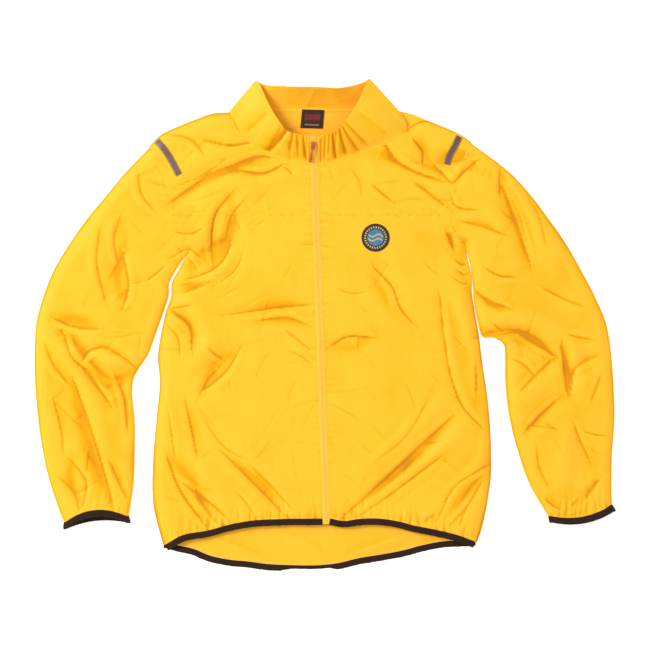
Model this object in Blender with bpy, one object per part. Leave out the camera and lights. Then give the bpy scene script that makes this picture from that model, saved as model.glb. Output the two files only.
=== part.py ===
"""Motorcycle rain jacket, laid flat on its back with the zip closed.

Sizes are millimetres in the tables and metres in the meshes. +X runs to the viewer's right, which is the
wearer's left, +Y towards the collar and +Z up from the surface that the jacket lies on.
"""

import math
from collections import namedtuple

import bmesh
import bpy
import numpy as np
from mathutils import Matrix, Vector
from mathutils.bvhtree import BVHTree

MM = 0.001
WALL = 1.2  # cloth with its coating and seam tape
SEAM = 0.3
EDGE = 2 * WALL + SEAM  # two layers where the front is turned down onto the back
LOFT = 8.0  # top of the front where it lies loosely on the back
ROLL = 18  # width over which an edge rises to the loft
HEM_LIFT = 3.0  # more height where the elastic hem and cuffs stand
HEM_LIFT_START, HEM_LIFT_END = -262, -300

CHEST_SEAM_Y = 178
ZIP_TOP = (-17, 260)  # where the zip crosses the neck seam
ZIP_FOOT = (3, -309)
ZIP_HALF = 6.3
BINDING_WIDTH = 11
BINDING_THICK = 2.6
BINDING_CROWN = 0.5

ARMHOLE_SHOULDER_ROWS = 10
ARMHOLE_CHEST_ROWS = 4
SLEEVE_STATIONS = 30
CUFF_FADE_STATIONS = 6
BACK_SIDE_ROWS = 12
FRONT_SIDE_ROWS = 32
FRONT_COLUMNS = 20
SHOULDER_COLUMNS = 5
NECK_COLUMNS = 8
HEM_BACK_COLUMNS = 2 * SHOULDER_COLUMNS + NECK_COLUMNS

Fold = namedtuple("Fold", "name x0 y0 x1 y1 bulge width height")
Section = namedtuple("Section", "name outer_x outer_y inner_x inner_y bow_top bow_under")
Rib = namedtuple("Rib", "name seam_x seam_y seam_z edge_x edge_y edge_z puff")

# Outlines, from the viewer's side. Each armhole has a point on the chest seam.
ARMHOLE_RIGHT = [(-281, 289), (-273, 264), (-262, 236), (-250, 202), (-241, CHEST_SEAM_Y), (-229, 148), (-219, 119)]
ARMHOLE_LEFT = [(236, 295), (226, 263), (214, 226), (207, 196), (205, CHEST_SEAM_Y), (209, 154), (224, 134)]
SIDE_RIGHT = [
    (-219, 119), (-232, 94), (-245, 68), (-246, 48), (-254, 24), (-260, -2), (-267, -50), (-264, -90),
    (-268, -135), (-275, -219), (-275, -277), (-268, -312), (-257, -352),
]
SIDE_LEFT = [
    (224, 134), (231, 100), (236, 80), (236, 55), (240, 26), (248, -19), (251, -45), (262, -123), (267, -200),
    (266, -250), (257, -297), (249, -330), (243, -347),
]
HEM_RIGHT = [(-257, -352), (-231, -337), (-186, -328), (-149, -318), (-112, -312), (-72, -310), (-3.3, -309)]
HEM_LEFT = [(243, -347), (218, -337), (178, -327), (147, -321), (115, -313), (85, -309), (54, -310), (30, -313), (9.3, -309)]
HEM_BACK = [
    (-257, -347), (-236, -353), (-210, -359), (-186, -369), (-154, -376), (-123, -379), (-93, -383), (-51, -385),
    (-9, -385), (20, -382), (54, -374), (96, -367), (127, -361), (157, -353), (188, -347), (218, -345), (243, -344),
]
SHOULDER_RIGHT = [(-281, 289), (-268, 303), (-231, 322), (-206, 332), (-180, 341), (-152, 343)]
SHOULDER_LEFT = [(236, 295), (225, 303), (185, 322), (160, 330), (134, 317)]
SHOULDER_BACK_LEFT = [(236, 295), (225, 303), (185, 323), (164, 332), (139, 342), (115, 347)]
NECK_RIGHT = [(-152, 343), (-137, 312), (-101, 282), (-59, 266), (-23, 260)]
NECK_LEFT = [(134, 317), (115, 303), (73, 284), (25, 267), (-11, 260)]
NECK_BACK = [(-152, 343), (-101, 354), (-56, 355), (17, 355), (70, 354), (115, 347)]

SLEEVE_RIGHT = [
    Section("armhole", -281, 289, -219, 119, 0, 0),
    Section("cap", -323, 245, -237, 93, 0, 0),
    Section("upper arm", -355, 206, -250, 69, 0, 0),
    Section("upper arm", -386, 168, -251, 49, 0, 0),
    Section("biceps", -413, 129, -260, 21, 0, 0),
    Section("biceps", -436, 90, -272, -13, 0, 0),
    Section("above elbow", -452, 50, -284, -45, 0, 0),
    Section("elbow", -464, 5, -300, -70, 0, 0),
    Section("elbow", -467, -45, -308, -86, 0, 0),
    Section("below elbow", -466, -95, -310, -110, 0, 0),
    Section("forearm", -462, -142, -306, -150, 0, 0),
    Section("forearm", -454, -200, -306, -205, 0, 0),
    Section("wrist", -441, -256, -308, -256, 4, 2),
    Section("cuff", -418, -316, -317, -306, 15, 8),
]
SLEEVE_LEFT = [
    Section("armhole", 236, 295, 224, 134, 0, 0),
    Section("cap", 301, 245, 234, 99, 0, 0),
    Section("upper arm", 336, 206, 238.5, 72, 0, 0),
    Section("upper arm", 364, 168, 240.5, 40, 0, 0),
    Section("biceps", 391, 129, 247, 8, 0, 0),
    Section("biceps", 413, 90, 254, -17, 0, 0),
    Section("above elbow", 436, 46, 272, -19, 0, 0),
    Section("elbow", 453, 6, 288, -29, 0, 0),
    Section("elbow", 461, -40, 291, -52, 0, 0),
    Section("below elbow", 465, -90, 291, -84, 0, 0),
    Section("forearm", 467, -150, 297, -142, 0, 0),
    Section("forearm", 463, -205, 311, -200, 0, 0),
    Section("wrist", 462, -250, 332, -258, 4, 2),
    Section("cuff", 462, -288, 362, -306, 10, 5),
]

# The collar from the zip's right edge, round the back of the neck, to its left edge.
COLLAR = [
    Rib("front end right", -23.5, 261.5, 7.2, -24.8, 304, 33, 0),
    Rib("front right", -42, 266, 7.4, -41, 306, 33, 2),
    Rib("front right", -59, 269, 7.4, -56, 310, 32, 3),
    Rib("wing right", -99, 285, 7.0, -75, 331, 28, 5),
    Rib("wing right", -133, 313, 5.8, -92, 361, 24, 4),
    Rib("tip right, front", -147, 334, 5.4, -104, 387, 19, 1),
    Rib("tip right", -151, 346, 4.8, -110, 393, 15, 0),
    Rib("tip right, back", -138, 350, 4.0, -103, 390, 11.5, -1),
    Rib("back", -101, 351.5, 3.0, -85, 385, 19, -2),
    Rib("back", -56, 352.0, 3.0, -49, 382, 28, -3),
    Rib("back", -14, 352.0, 3.0, -12, 381, 31, -3),
    Rib("back", 25, 352.0, 3.0, 22, 380, 28, -3),
    Rib("back", 70, 351.5, 3.0, 50, 386, 19, -2),
    Rib("tip left, back", 104, 348, 3.8, 65, 393, 12, 1),
    Rib("tip left", 124, 339, 4.2, 71, 396, 15.5, 3),
    Rib("tip left, front", 132, 322, 5.4, 67, 388, 20, 3),
    Rib("wing left", 114, 305.5, 6.6, 55, 362, 26, 5),
    Rib("wing left", 73, 287, 7.2, 37, 333, 29, 5),
    Rib("front left", 25, 270, 7.4, 21, 312, 32, 3),
    Rib("front left", 7, 265, 7.4, 6, 305, 33, 2),
    Rib("front end left", -10.5, 261.5, 7.2, -12.2, 303, 33, 0),
]
COLLAR_STATIONS = 56
COLLAR_ROWS = 4
COLLAR_WALL = 1.6
NECK_TURN = (308, 334)  # over this stretch the collar passes from the front to the back
PLEAT_PITCH = 13
PLEAT_DEPTH = 1.6
PLEAT_REACH = 70

# The largest folds. A fold runs from one end to the other and bulges to its left. Troughs are negative.
FOLDS = [
    Fold("armhole to neck, right", -244, 203, -95, 272, 12, 14, -7.5),
    Fold("ridge over it", -235, 240, -120, 295, 8, 20, 6),
    Fold("shoulder, right", -205, 296, -112, 296, -8, 15, -4),
    Fold("below the collar, right", -136, 250, -66, 261, -5, 11, -4),
    Fold("chest curl, right", -152, 213, -181, 104, 16, 12, -8),
    Fold("ridge beside the curl", -195, 205, -206, 125, 10, 16, 8),
    Fold("chest crescent, right", -148, 135, -220, 75, -16, 14, -8.5),
    Fold("armpit star", -246, 110, -201, 108, -12, 9, -4.5),
    Fold("under the armpit", -246, 50, -190, 66, 4, 12, -5.5),
    Fold("side, right", -250, 26, -214, -42, 14, 14, -5.5),
    Fold("side ridge, right", -215, 30, -190, -40, 8, 16, 4.5),
    Fold("belly curl, right", -139, -40, -196, -104, -10, 14, -8),
    Fold("belly ridge, right", -170, -20, -215, -75, -8, 16, 6),
    Fold("across the chest, right", -156, 16, -22, 34, 5, 17, -5.5),
    Fold("below it", -102, 8, -25, 0, 6, 12, -4),
    Fold("soft upright, right", -226, -118, -203, -218, 3, 18, -4),
    Fold("hem slant, right", -252, -212, -186, -324, 14, 12, -6),
    Fold("hem slant ridge, right", -236, -190, -158, -300, 12, 13, 5.5),
    Fold("hem slant, right inner", -165, -203, -64, -302, 6, 12, -5.5),
    Fold("hem ridge, right inner", -140, -200, -45, -290, 6, 13, 4),
    Fold("under the collar, left", 62, 284, 190, 236, 6, 15, -6.5),
    Fold("shoulder bump, left", 150, 300, 160, 256, 8, 13, -4.5),
    Fold("shoulder ridge, left", 126, 290, 142, 258, 0, 17, 5),
    Fold("below the strip, left", 178, 248, 246, 262, 20, 15, -8),
    Fold("ridge under it", 180, 214, 262, 226, 12, 16, 6),
    Fold("yoke slant, left", 144, 231, 194, 192, 4, 10, -4),
    Fold("armhole pucker, left", 196, 154, 209, 118, 0, 10, -5.5),
    Fold("armhole crush, left", 222, 136, 238, 48, -6, 10, -6),
    Fold("chest slant, left", 78, 96, 142, 3, -12, 13, -4.5),
    Fold("chest slant ridge, left", 110, 110, 176, 20, -10, 16, 4),
    Fold("long upright, left", 186, 48, 252, -162, 14, 17, -7),
    Fold("long ridge, left", 214, 40, 240, -100, 8, 16, 6),
    Fold("beside the zip, left", 8, -34, 80, -16, -8, 14, -5.5),
    Fold("slant 1, left", 204, -146, 30, -305, 8, 13, -7),
    Fold("slant ridge 1, left", 190, -120, 62, -232, 4, 16, 5.5),
    Fold("slant 2, left", 186, -212, 56, -306, 6, 11, -6),
    Fold("slant ridge 2, left", 215, -170, 60, -296, 6, 11, 5.5),
    Fold("hem slant, left", 264, -224, 182, -310, 8, 11, -6),
    Fold("hem slant ridge, left", 258, -200, 190, -270, 8, 11, 5.5),
    Fold("cap trough, right arm", -329, 178, -334, 100, 7, 13, -4.5),
    Fold("arm trough, right", -325, 122, -321, 32, -8, 12, -6),
    Fold("arm crown, right", -360, 190, -392, 60, 14, 26, 5.5),
    Fold("outer trough, right arm", -362, 158, -354, 40, 10, 12, -4),
    Fold("above the elbow, right", -436, 12, -360, -6, 6, 13, -5.5),
    Fold("elbow, right", -420, -14, -345, -124, 14, 13, -9.5),
    Fold("inner elbow, right", -392, -60, -300, -68, -26, 12, -8),
    Fold("elbow ridge, right", -385, -34, -318, -52, -14, 14, 8.5),
    Fold("elbow ridge, outer right", -440, -20, -385, -118, 14, 16, 6),
    Fold("forearm, right", -402, -92, -338, -294, -8, 13, -7),
    Fold("forearm inner, right", -338, -78, -317, -170, 5, 13, -5.5),
    Fold("forearm ridge, right", -375, -100, -335, -250, -6, 15, 6),
    Fold("cuff, right", -408, -214, -387, -292, -10, 10, -5.5),
    Fold("cuff inner, right", -346, -216, -316, -282, 2, 9, -4.5),
    Fold("cap trough, left arm", 280, 250, 330, 100, 4, 15, -7),
    Fold("arm crown, left", 300, 225, 372, 90, 10, 24, 6),
    Fold("arm ridge, left", 262, 210, 290, 110, 4, 20, 4.5),
    Fold("arm cross, left", 228, 164, 288, 146, 6, 12, -4),
    Fold("arm inner, left", 242, 56, 294, 30, -6, 12, -5.5),
    Fold("elbow, left", 244, -17, 368, -48, 18, 13, -9.5),
    Fold("elbow ridge, left", 262, 8, 392, -22, 16, 16, 8.5),
    Fold("elbow pleat, left", 378, -30, 388, -106, 4, 11, -6),
    Fold("elbow pleat ridge, left", 398, -20, 408, -110, 6, 12, 6),
    Fold("elbow pleat outer, left", 440, -48, 397, -104, -10, 12, -5.5),
    Fold("elbow inner, left", 364, -54, 312, -106, -5, 12, -5.5),
    Fold("forearm, left", 372, -118, 322, -170, -4, 13, -5.5),
    Fold("forearm ridge, left", 350, -90, 300, -130, -4, 14, 5.5),
    Fold("forearm outer, left", 402, -156, 427, -216, 4, 12, -4.5),
    Fold("forearm crown, left", 392, -140, 372, -270, 4, 18, 5.5),
    Fold("cuff, left", 420, -282, 443, -246, 2, 9, -4.5),
    Fold("cuff inner, left", 350, -270, 378, -298, 2, 9, -4.5),
]
# The inside of the dropped tail, which rises off the surface in low ridges.
TAIL_FOLDS = [
    Fold("tail, right", -172, -334, -92, -372, -4, 9, 3.0),
    Fold("tail, left", 146, -326, 40, -364, 5, 10, 3.5),
    Fold("tail, middle", -40, -340, 30, -348, -4, 16, 1.5),
]

STRIP_RIGHT = [(-270, 298), (-256, 282), (-245, 264), (-234, 243)]
STRIP_LEFT = [(217, 305), (209, 288), (201, 273), (197, 260)]
STRIP_WIDTH = 11
STRIP_THICK = 1.0
PATCH_CENTRE = (82, 142)
PATCH_DIAMETER = 45
PATCH_THICK = 1.2
LABEL_CORNERS = [(-36, 349), (0, 348), (-3, 318), (-39, 319)]
LABEL_THICK = 1.0
LAY_REACH = 3.5  # a piece on the cloth clears the highest point this near

SLIDER_Y = 290
SLIDER_YAW = math.radians(-12)
SLIDER_LENGTH, SLIDER_WIDTH, SLIDER_THICK = 11, 8.4, 2.6
BRIDGE_HALF, BRIDGE_RISE, BRIDGE_WIRE = 3.6, 3.9, 0.7
HINGE_RISE = 1.7  # hinge axis above the slider's top
PULL_LENGTH, PULL_TOP_WIDTH, PULL_WIDTH, PULL_THICK = 31, 6.4, 8.0, 1.4
PULL_WINDOW_NEAR, PULL_WINDOW_FAR, PULL_WINDOW_HALF = 1.0, 5.6, 1.5
PULL_DROP = math.radians(5.5)  # the tab rests with its tip just above the zip


def clear_scene():
    for thing in list(bpy.data.objects):
        bpy.data.objects.remove(thing, do_unlink=True)


def material(name, colour, roughness, metallic=0.0):
    made = bpy.data.materials.new(name)
    made.use_nodes = True
    shader = made.node_tree.nodes["Principled BSDF"]
    shader.inputs["Base Color"].default_value = (*colour, 1.0)
    shader.inputs["Roughness"].default_value = roughness
    shader.inputs["Metallic"].default_value = metallic
    made.diffuse_color = (*colour, 1.0)
    return made


def smoothstep(value, start, end):
    t = np.clip((value - start) / (end - start), 0, 1)
    return t * t * (3 - 2 * t)


def curve_at(points, t):
    """Points at fractions t of a smooth curve through the given points, by Catmull-Rom on chord lengths."""
    points = np.asarray(points, float)
    steps = np.linalg.norm(np.diff(points, axis=0), axis=1)
    knots = np.concatenate([[0], np.cumsum(steps)]) / steps.sum()
    slopes = np.gradient(points, knots, axis=0)
    t = np.clip(np.asarray(t, float), 0, 1)
    i = np.clip(np.searchsorted(knots, t, side="right") - 1, 0, len(points) - 2)
    span = knots[i + 1] - knots[i]
    u = ((t - knots[i]) / span)[:, None]
    span = span[:, None]
    return (
        (2 * u**3 - 3 * u**2 + 1) * points[i]
        + (u**3 - 2 * u**2 + u) * span * slopes[i]
        + (3 * u**2 - 2 * u**3) * points[i + 1]
        + (u**3 - u**2) * span * slopes[i + 1]
    )


def sampled(points, count):
    return curve_at(points, np.linspace(0, 1, count + 1))


def distance_to(path, x, y):
    """(distance, place along the path from 0 to 1) of each point to a polyline."""
    path = np.asarray(path, float)
    steps = np.linalg.norm(np.diff(path, axis=0), axis=1)
    places = np.concatenate([[0], np.cumsum(steps)]) / steps.sum()
    nearest, along = np.full(x.shape, 1e9), np.zeros(x.shape)
    for a, b, start, end in zip(path[:-1], path[1:], places[:-1], places[1:]):
        run = b - a
        t = np.clip(((x - a[0]) * run[0] + (y - a[1]) * run[1]) / (run @ run), 0, 1)
        gap = np.hypot(x - a[0] - t * run[0], y - a[1] - t * run[1])
        closer = gap < nearest
        nearest = np.where(closer, gap, nearest)
        along = np.where(closer, start + t * (end - start), along)
    return nearest, along


def fold_path(fold):
    start, end = np.array([fold.x0, fold.y0]), np.array([fold.x1, fold.y1])
    run = end - start
    side = np.array([-run[1], run[0]]) / np.linalg.norm(run)
    t = np.linspace(0, 1, 9)[:, None]
    return start + t * run + side * fold.bulge * 4 * t * (1 - t)


def relief(folds, x, y):
    """Height that the folds add, soft across each fold and fading at its ends."""
    total = np.zeros(x.shape)
    for fold in folds:
        gap, along = distance_to(fold_path(fold), x, y)
        fade = np.sin(math.pi * np.clip(0.08 + 0.84 * along, 0, 1)) ** 0.7
        total += fold.height * fade * np.exp(-((gap / fold.width) ** 2))
    return total


def rolled_edges():
    """The silhouette lines where the front turns down onto the back."""
    edges = [SHOULDER_RIGHT, SHOULDER_LEFT, SIDE_RIGHT, SIDE_LEFT]
    for sections in (SLEEVE_RIGHT, SLEEVE_LEFT):
        edges.append([(s.outer_x, s.outer_y) for s in sections])
        edges.append([(s.inner_x, s.inner_y) for s in sections])
    return [sampled(edge, 3 * len(edge)) for edge in edges]


def top_height(x, y):
    """Height of the front's upper surface."""
    gap = np.full(x.shape, 1e9)
    for edge in rolled_edges():
        gap = np.minimum(gap, distance_to(edge, x, y)[0])
    rise = 1 - (1 - np.clip(gap / ROLL, 0, 1)) ** 2
    foot = EDGE + HEM_LIFT * smoothstep(-y, -HEM_LIFT_START, -HEM_LIFT_END)
    low = foot + (LOFT - EDGE) * rise
    folds = relief(FOLDS, x, y) * (0.15 + 0.85 * rise)
    height = low + folds
    return foot + np.logaddexp(0, 1.6 * (height - foot)) / 1.6 - np.log(2) / 1.6 * (1 - rise)


def tail_height(x, y):
    return np.maximum(relief(TAIL_FOLDS, x, y) * smoothstep(-y, 300, 335), 0) * smoothstep(380 + y, 0, 14)


def rim_inset(plan, gap):
    """The flat pattern with its whole rim drawn in by the gap, square to each edge."""
    rows, columns = plan.shape[0] - 1, plan.shape[1] - 1
    ring = [(0, i) for i in range(columns)] + [(j, columns) for j in range(rows)]
    ring += [(rows, i) for i in range(columns, 0, -1)] + [(j, 0) for j in range(rows, 0, -1)]
    points = np.array([plan[j, i, :2] for j, i in ring])
    area = np.sum(points[:, 0] * np.roll(points[:, 1], -1) - np.roll(points[:, 0], -1) * points[:, 1])
    turn = 1 if area > 0 else -1
    moved = plan.copy()
    for k, (j, i) in enumerate(ring):
        before = points[k] - points[k - 1]
        after = points[(k + 1) % len(points)] - points[k]
        n1 = turn * np.array([-before[1], before[0]]) / np.linalg.norm(before)
        n2 = turn * np.array([-after[1], after[0]]) / np.linalg.norm(after)
        mitre = (n1 + n2) / (1 + n1 @ n2)
        moved[j, i, :2] = points[k] + gap * mitre
    return moved


def pattern_piece(top, bottom, left, right):
    """A flat pattern between its four edges, which share their corners, as rows of points."""
    u = np.linspace(0, 1, len(top))[None, :, None]
    v = np.linspace(0, 1, len(left))[:, None, None]
    top, bottom = np.asarray(top)[None], np.asarray(bottom)[None]
    left, right = np.asarray(left)[:, None], np.asarray(right)[:, None]
    corners = (1 - u) * (1 - v) * top[:, :1] + u * (1 - v) * top[:, -1:]
    corners = corners + (1 - u) * v * bottom[:, :1] + u * v * bottom[:, -1:]
    return (1 - v) * top + v * bottom + (1 - u) * left + u * right - corners


def walled(name, outer, inner, look, joined=False):
    """A wall between two like nets of points. A joined net closes into a tube round its columns."""
    rows, columns = outer.shape[0] - 1, outer.shape[1] - 1
    bm = bmesh.new()
    bmesh.ops.create_grid(bm, x_segments=columns, y_segments=rows, size=1)
    tag = bm.verts.layers.int.new("place")
    for vert in bm.verts:
        i = round((vert.co.x + 1) / 2 * columns)
        j = round((1 - vert.co.y) / 2 * rows)
        vert[tag] = j * (columns + 1) + i
        vert.co = Vector(outer[j, i]) * MM
    if joined:
        bmesh.ops.remove_doubles(bm, verts=bm.verts, dist=1e-6)
    raised = bmesh.ops.extrude_face_region(bm, geom=bm.faces[:])
    flat_inner = inner.reshape(-1, 3)
    for vert in raised["geom"]:
        if isinstance(vert, bmesh.types.BMVert):
            vert.co = Vector(flat_inner[vert[tag]]) * MM
    bmesh.ops.recalc_face_normals(bm, faces=bm.faces)
    bmesh.ops.triangulate(bm, faces=bm.faces[:], quad_method="ALTERNATE")
    return placed(name, bm, look)


def placed(name, bm, look):
    mesh = bpy.data.meshes.new(name)
    bm.to_mesh(mesh)
    bm.free()
    mesh.materials.append(look)
    mesh.shade_smooth()
    mesh.set_sharp_from_angle(angle=math.radians(55))
    thing = bpy.data.objects.new(name, mesh)
    bpy.context.scene.collection.children["rain_jacket"].objects.link(thing)
    return thing


def draped(plan, wall, height):
    """(outer, inner) nets of a flat pattern laid over a height."""
    x, y = plan[..., 0], plan[..., 1]
    z = height(x, y)
    return np.dstack([x, y, z]), np.dstack([x, y, z - wall])


def armhole_samples(armhole):
    """The armhole's points: the shoulder part down to the chest seam, then the rest down to the armpit."""
    seam = next(k for k, point in enumerate(armhole) if point[1] == CHEST_SEAM_Y)
    whole = np.asarray(armhole, float)
    steps = np.linalg.norm(np.diff(whole, axis=0), axis=1)
    split = steps[:seam].sum() / steps.sum()
    upper = np.linspace(0, split, ARMHOLE_SHOULDER_ROWS + 1)
    lower = np.linspace(split, 1, ARMHOLE_CHEST_ROWS + 1)[1:]
    return curve_at(whole, np.concatenate([upper, lower]))


def zip_x(y):
    share = (y - ZIP_FOOT[1]) / (ZIP_TOP[1] - ZIP_FOOT[1])
    return ZIP_FOOT[0] + share * (ZIP_TOP[0] - ZIP_FOOT[0])


def level_with(edge, x_of, top_y, bottom_y):
    """Points on a straight edge whose heights are spaced as those of another edge are."""
    edge = np.asarray(edge)
    share = (edge[0, 1] - edge[:, 1]) / (edge[0, 1] - edge[-1, 1])
    y = top_y + share * (bottom_y - top_y)
    return np.column_stack([[x_of(value) for value in y], y])


def make_back(cloth):
    armhole_right = armhole_samples(ARMHOLE_RIGHT)[::2]
    armhole_left = armhole_samples(ARMHOLE_LEFT)[::2]
    side_right = [*SIDE_RIGHT[:-1], HEM_BACK[0]]
    side_left = [*SIDE_LEFT[:-1], HEM_BACK[-1]]
    left = np.vstack([armhole_right, sampled(side_right, BACK_SIDE_ROWS)[1:]])
    right = np.vstack([armhole_left, sampled(side_left, BACK_SIDE_ROWS)[1:]])
    top = np.vstack([
        sampled(SHOULDER_RIGHT, SHOULDER_COLUMNS),
        sampled(NECK_BACK, NECK_COLUMNS)[1:],
        sampled(SHOULDER_BACK_LEFT[::-1], SHOULDER_COLUMNS)[1:],
    ])
    bottom = sampled(HEM_BACK, HEM_BACK_COLUMNS)
    plan = rim_inset(pattern_piece(top, bottom, left, right), SEAM)
    inner, outer = draped(plan, -WALL, tail_height)
    return walled("back", outer, inner, cloth)


def make_front(name, armhole, side, hem, zip_side, cloth):
    """A lower front, from the chest seam to the hem."""
    outline = armhole_samples(armhole)[ARMHOLE_SHOULDER_ROWS:]
    outline = np.vstack([outline, sampled(side, FRONT_SIDE_ROWS)[1:]])
    edge_y = ZIP_FOOT[1]
    zip_edge = level_with(outline, lambda y: zip_x(y) + zip_side * ZIP_HALF, CHEST_SEAM_Y, edge_y)
    top = np.linspace(outline[0], zip_edge[0], FRONT_COLUMNS + 1)
    bottom = sampled(hem, FRONT_COLUMNS)
    zip_edge[-1] = bottom[-1]
    plan = rim_inset(pattern_piece(top, bottom, outline, zip_edge), SEAM / 2)
    outer, inner = draped(plan, WALL, top_height)
    return walled(name, outer, inner, cloth)


def make_yoke(name, armhole, shoulder, neck, zip_side, cloth):
    """The part of a front above the chest seam."""
    outline = armhole_samples(armhole)[: ARMHOLE_SHOULDER_ROWS + 1]
    top = np.vstack([sampled(shoulder, NECK_COLUMNS), sampled(neck, NECK_COLUMNS)[1:]])
    zip_edge = level_with(outline, lambda y: zip_x(y) + zip_side * ZIP_HALF, top[-1][1], CHEST_SEAM_Y)
    zip_edge[0] = top[-1]
    bottom = np.linspace(outline[-1], zip_edge[-1], 2 * NECK_COLUMNS + 1)
    plan = rim_inset(pattern_piece(top, bottom, outline, zip_edge), SEAM / 2)
    outer, inner = draped(plan, WALL, top_height)
    return walled(name, outer, inner, cloth)


def sleeve_row(section, shares, bend, bow):
    """A row of points across a flattened sleeve, from its outer edge to its inner one."""
    outer, inner = np.array(section[:2]), np.array(section[2:4])
    run = inner - outer
    up = np.array([-run[1], run[0]]) / np.linalg.norm(run)
    s = shares[:, None]
    return outer + s * run + up * bow * 4 * s * (1 - s) + bend


def tube_rings(rows_top, rows_under, height, wall, lift=0.0):
    """(outer, inner) rings of a flattened tube: upper layer, inner edge, layer on the floor, outer edge."""
    outer_rings, inner_rings = [], []
    for top, under in zip(rows_top, rows_under):
        x, y = top[:, 0], top[:, 1]
        z = height(x, y) + lift
        across = (top[-1] - top[0]) / np.linalg.norm(top[-1] - top[0])
        middle = z[[0, -1]] / 2
        upper = np.column_stack([top, z])
        lower = np.column_stack([under, np.zeros(len(under))])
        edge_in = [*(top[-1] + across * middle[1]), middle[1]]
        edge_out = [*(top[0] - across * middle[0]), middle[0]]
        outer_rings.append([*upper, edge_in, *lower[::-1], edge_out, upper[0]])
        tucked_in = [*(top[-1] + across * (middle[1] - wall)), middle[1]]
        tucked_out = [*(top[0] - across * (middle[0] - wall)), middle[0]]
        upper = upper - [0, 0, wall]
        lower = lower + [0, 0, wall]
        inner_rings.append([*upper, tucked_in, *lower[::-1], tucked_out, upper[0]])
    return np.array(outer_rings), np.array(inner_rings)


def drawn_in(rows, amount):
    """Rows whose two ends are moved inwards, which leaves room for the rounded edges."""
    moved = []
    for row in rows:
        run = row[-1] - row[0]
        length = np.linalg.norm(run)
        s = np.linspace(0, 1, len(row))[:, None]
        moved.append(row + run / length * amount * (1 - 2 * s))
    return moved


def sleeve_rows(sections, armhole):
    """The sleeve's rows of points, upper layer and under layer, from armhole to cuff."""
    seam = armhole_samples(armhole)
    steps = np.linalg.norm(np.diff(seam, axis=0), axis=1)
    shares = np.concatenate([[0], np.cumsum(steps)]) / steps.sum()
    table = np.array([s[1:] for s in sections], float)
    stations = curve_at(table, np.linspace(0, 1, SLEEVE_STATIONS + 1))
    first = seam - sleeve_row(stations[0], shares, 0, 0)
    rows_top, rows_under = [], []
    for j, station in enumerate(stations):
        bend = first * (1 - smoothstep(j, 0, CUFF_FADE_STATIONS))
        rows_top.append(sleeve_row(station, shares, bend, station[4]))
        rows_under.append(sleeve_row(station, shares, bend, station[5])[::2])
    run = np.gradient(seam, axis=0)
    away = np.column_stack([run[:, 1], -run[:, 0]]) / np.linalg.norm(run, axis=1)[:, None]
    away *= np.sign(np.sum(away * (rows_top[1] - rows_top[0])))
    rows_top[0] = rows_top[0] + SEAM * away
    rows_under[0] = rows_under[0] + 2 * SEAM * away[::2]
    return rows_top, rows_under


def make_sleeve(name, sections, armhole, cloth):
    rows_top, rows_under = sleeve_rows(sections, armhole)
    half = EDGE / 2
    rings = tube_rings(drawn_in(rows_top, half), drawn_in(rows_under, half), top_height, WALL)
    return walled(name, *rings, cloth, joined=True)


def make_cuff(name, sections, armhole, look):
    """The elastic binding, which carries the sleeve's last ring on by its own width."""
    rows_top, rows_under = sleeve_rows(sections, armhole)
    half = EDGE / 2
    bands = []
    for rows in (rows_top, rows_under):
        forward = (rows[-1] - rows[-2]).mean(axis=0)
        forward /= np.linalg.norm(forward)
        starts = np.linspace(SEAM, BINDING_WIDTH, 3)
        bands.append(drawn_in([rows[-1] + forward * start for start in starts], half))
    outer, inner = tube_rings(bands[0], bands[1], top_height, 2 * WALL - SEAM, BINDING_CROWN)
    return walled(name, outer, inner, look, joined=True)


def make_hem_binding(name, hem, columns, base, look):
    """A folded elastic tape along a hem, its crown a little above the cloth."""
    line = sampled(hem, columns)
    line[-1] += (line[-2] - line[-1]) * 2 * SEAM / np.linalg.norm(line[-2] - line[-1])
    run = np.gradient(line, axis=0)
    down = np.column_stack([run[:, 1], -run[:, 0]]) / np.linalg.norm(run, axis=1)[:, None]
    down *= np.sign(-down[:, 1:2])
    down[-1] = (0, -1)
    depths = np.array([SEAM, 0.25 * BINDING_WIDTH, 0.75 * BINDING_WIDTH, BINDING_WIDTH])
    crown = np.array([-0.4, BINDING_CROWN, BINDING_CROWN, -0.4])
    plan = line[None] + depths[:, None, None] * down[None]
    z = base(line[:, 0], line[:, 1])[None] + crown[:, None]
    floor = base(line[:, 0], line[:, 1])[None] + BINDING_CROWN - BINDING_THICK + 0 * crown[:, None]
    outer = np.dstack([plan[..., 0], plan[..., 1], z])
    inner = np.dstack([plan[..., 0], plan[..., 1], floor])
    return walled(name, outer, inner, look)


def back_binding_height(x, y):
    return np.full(x.shape, BINDING_THICK - BINDING_CROWN)


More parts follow.
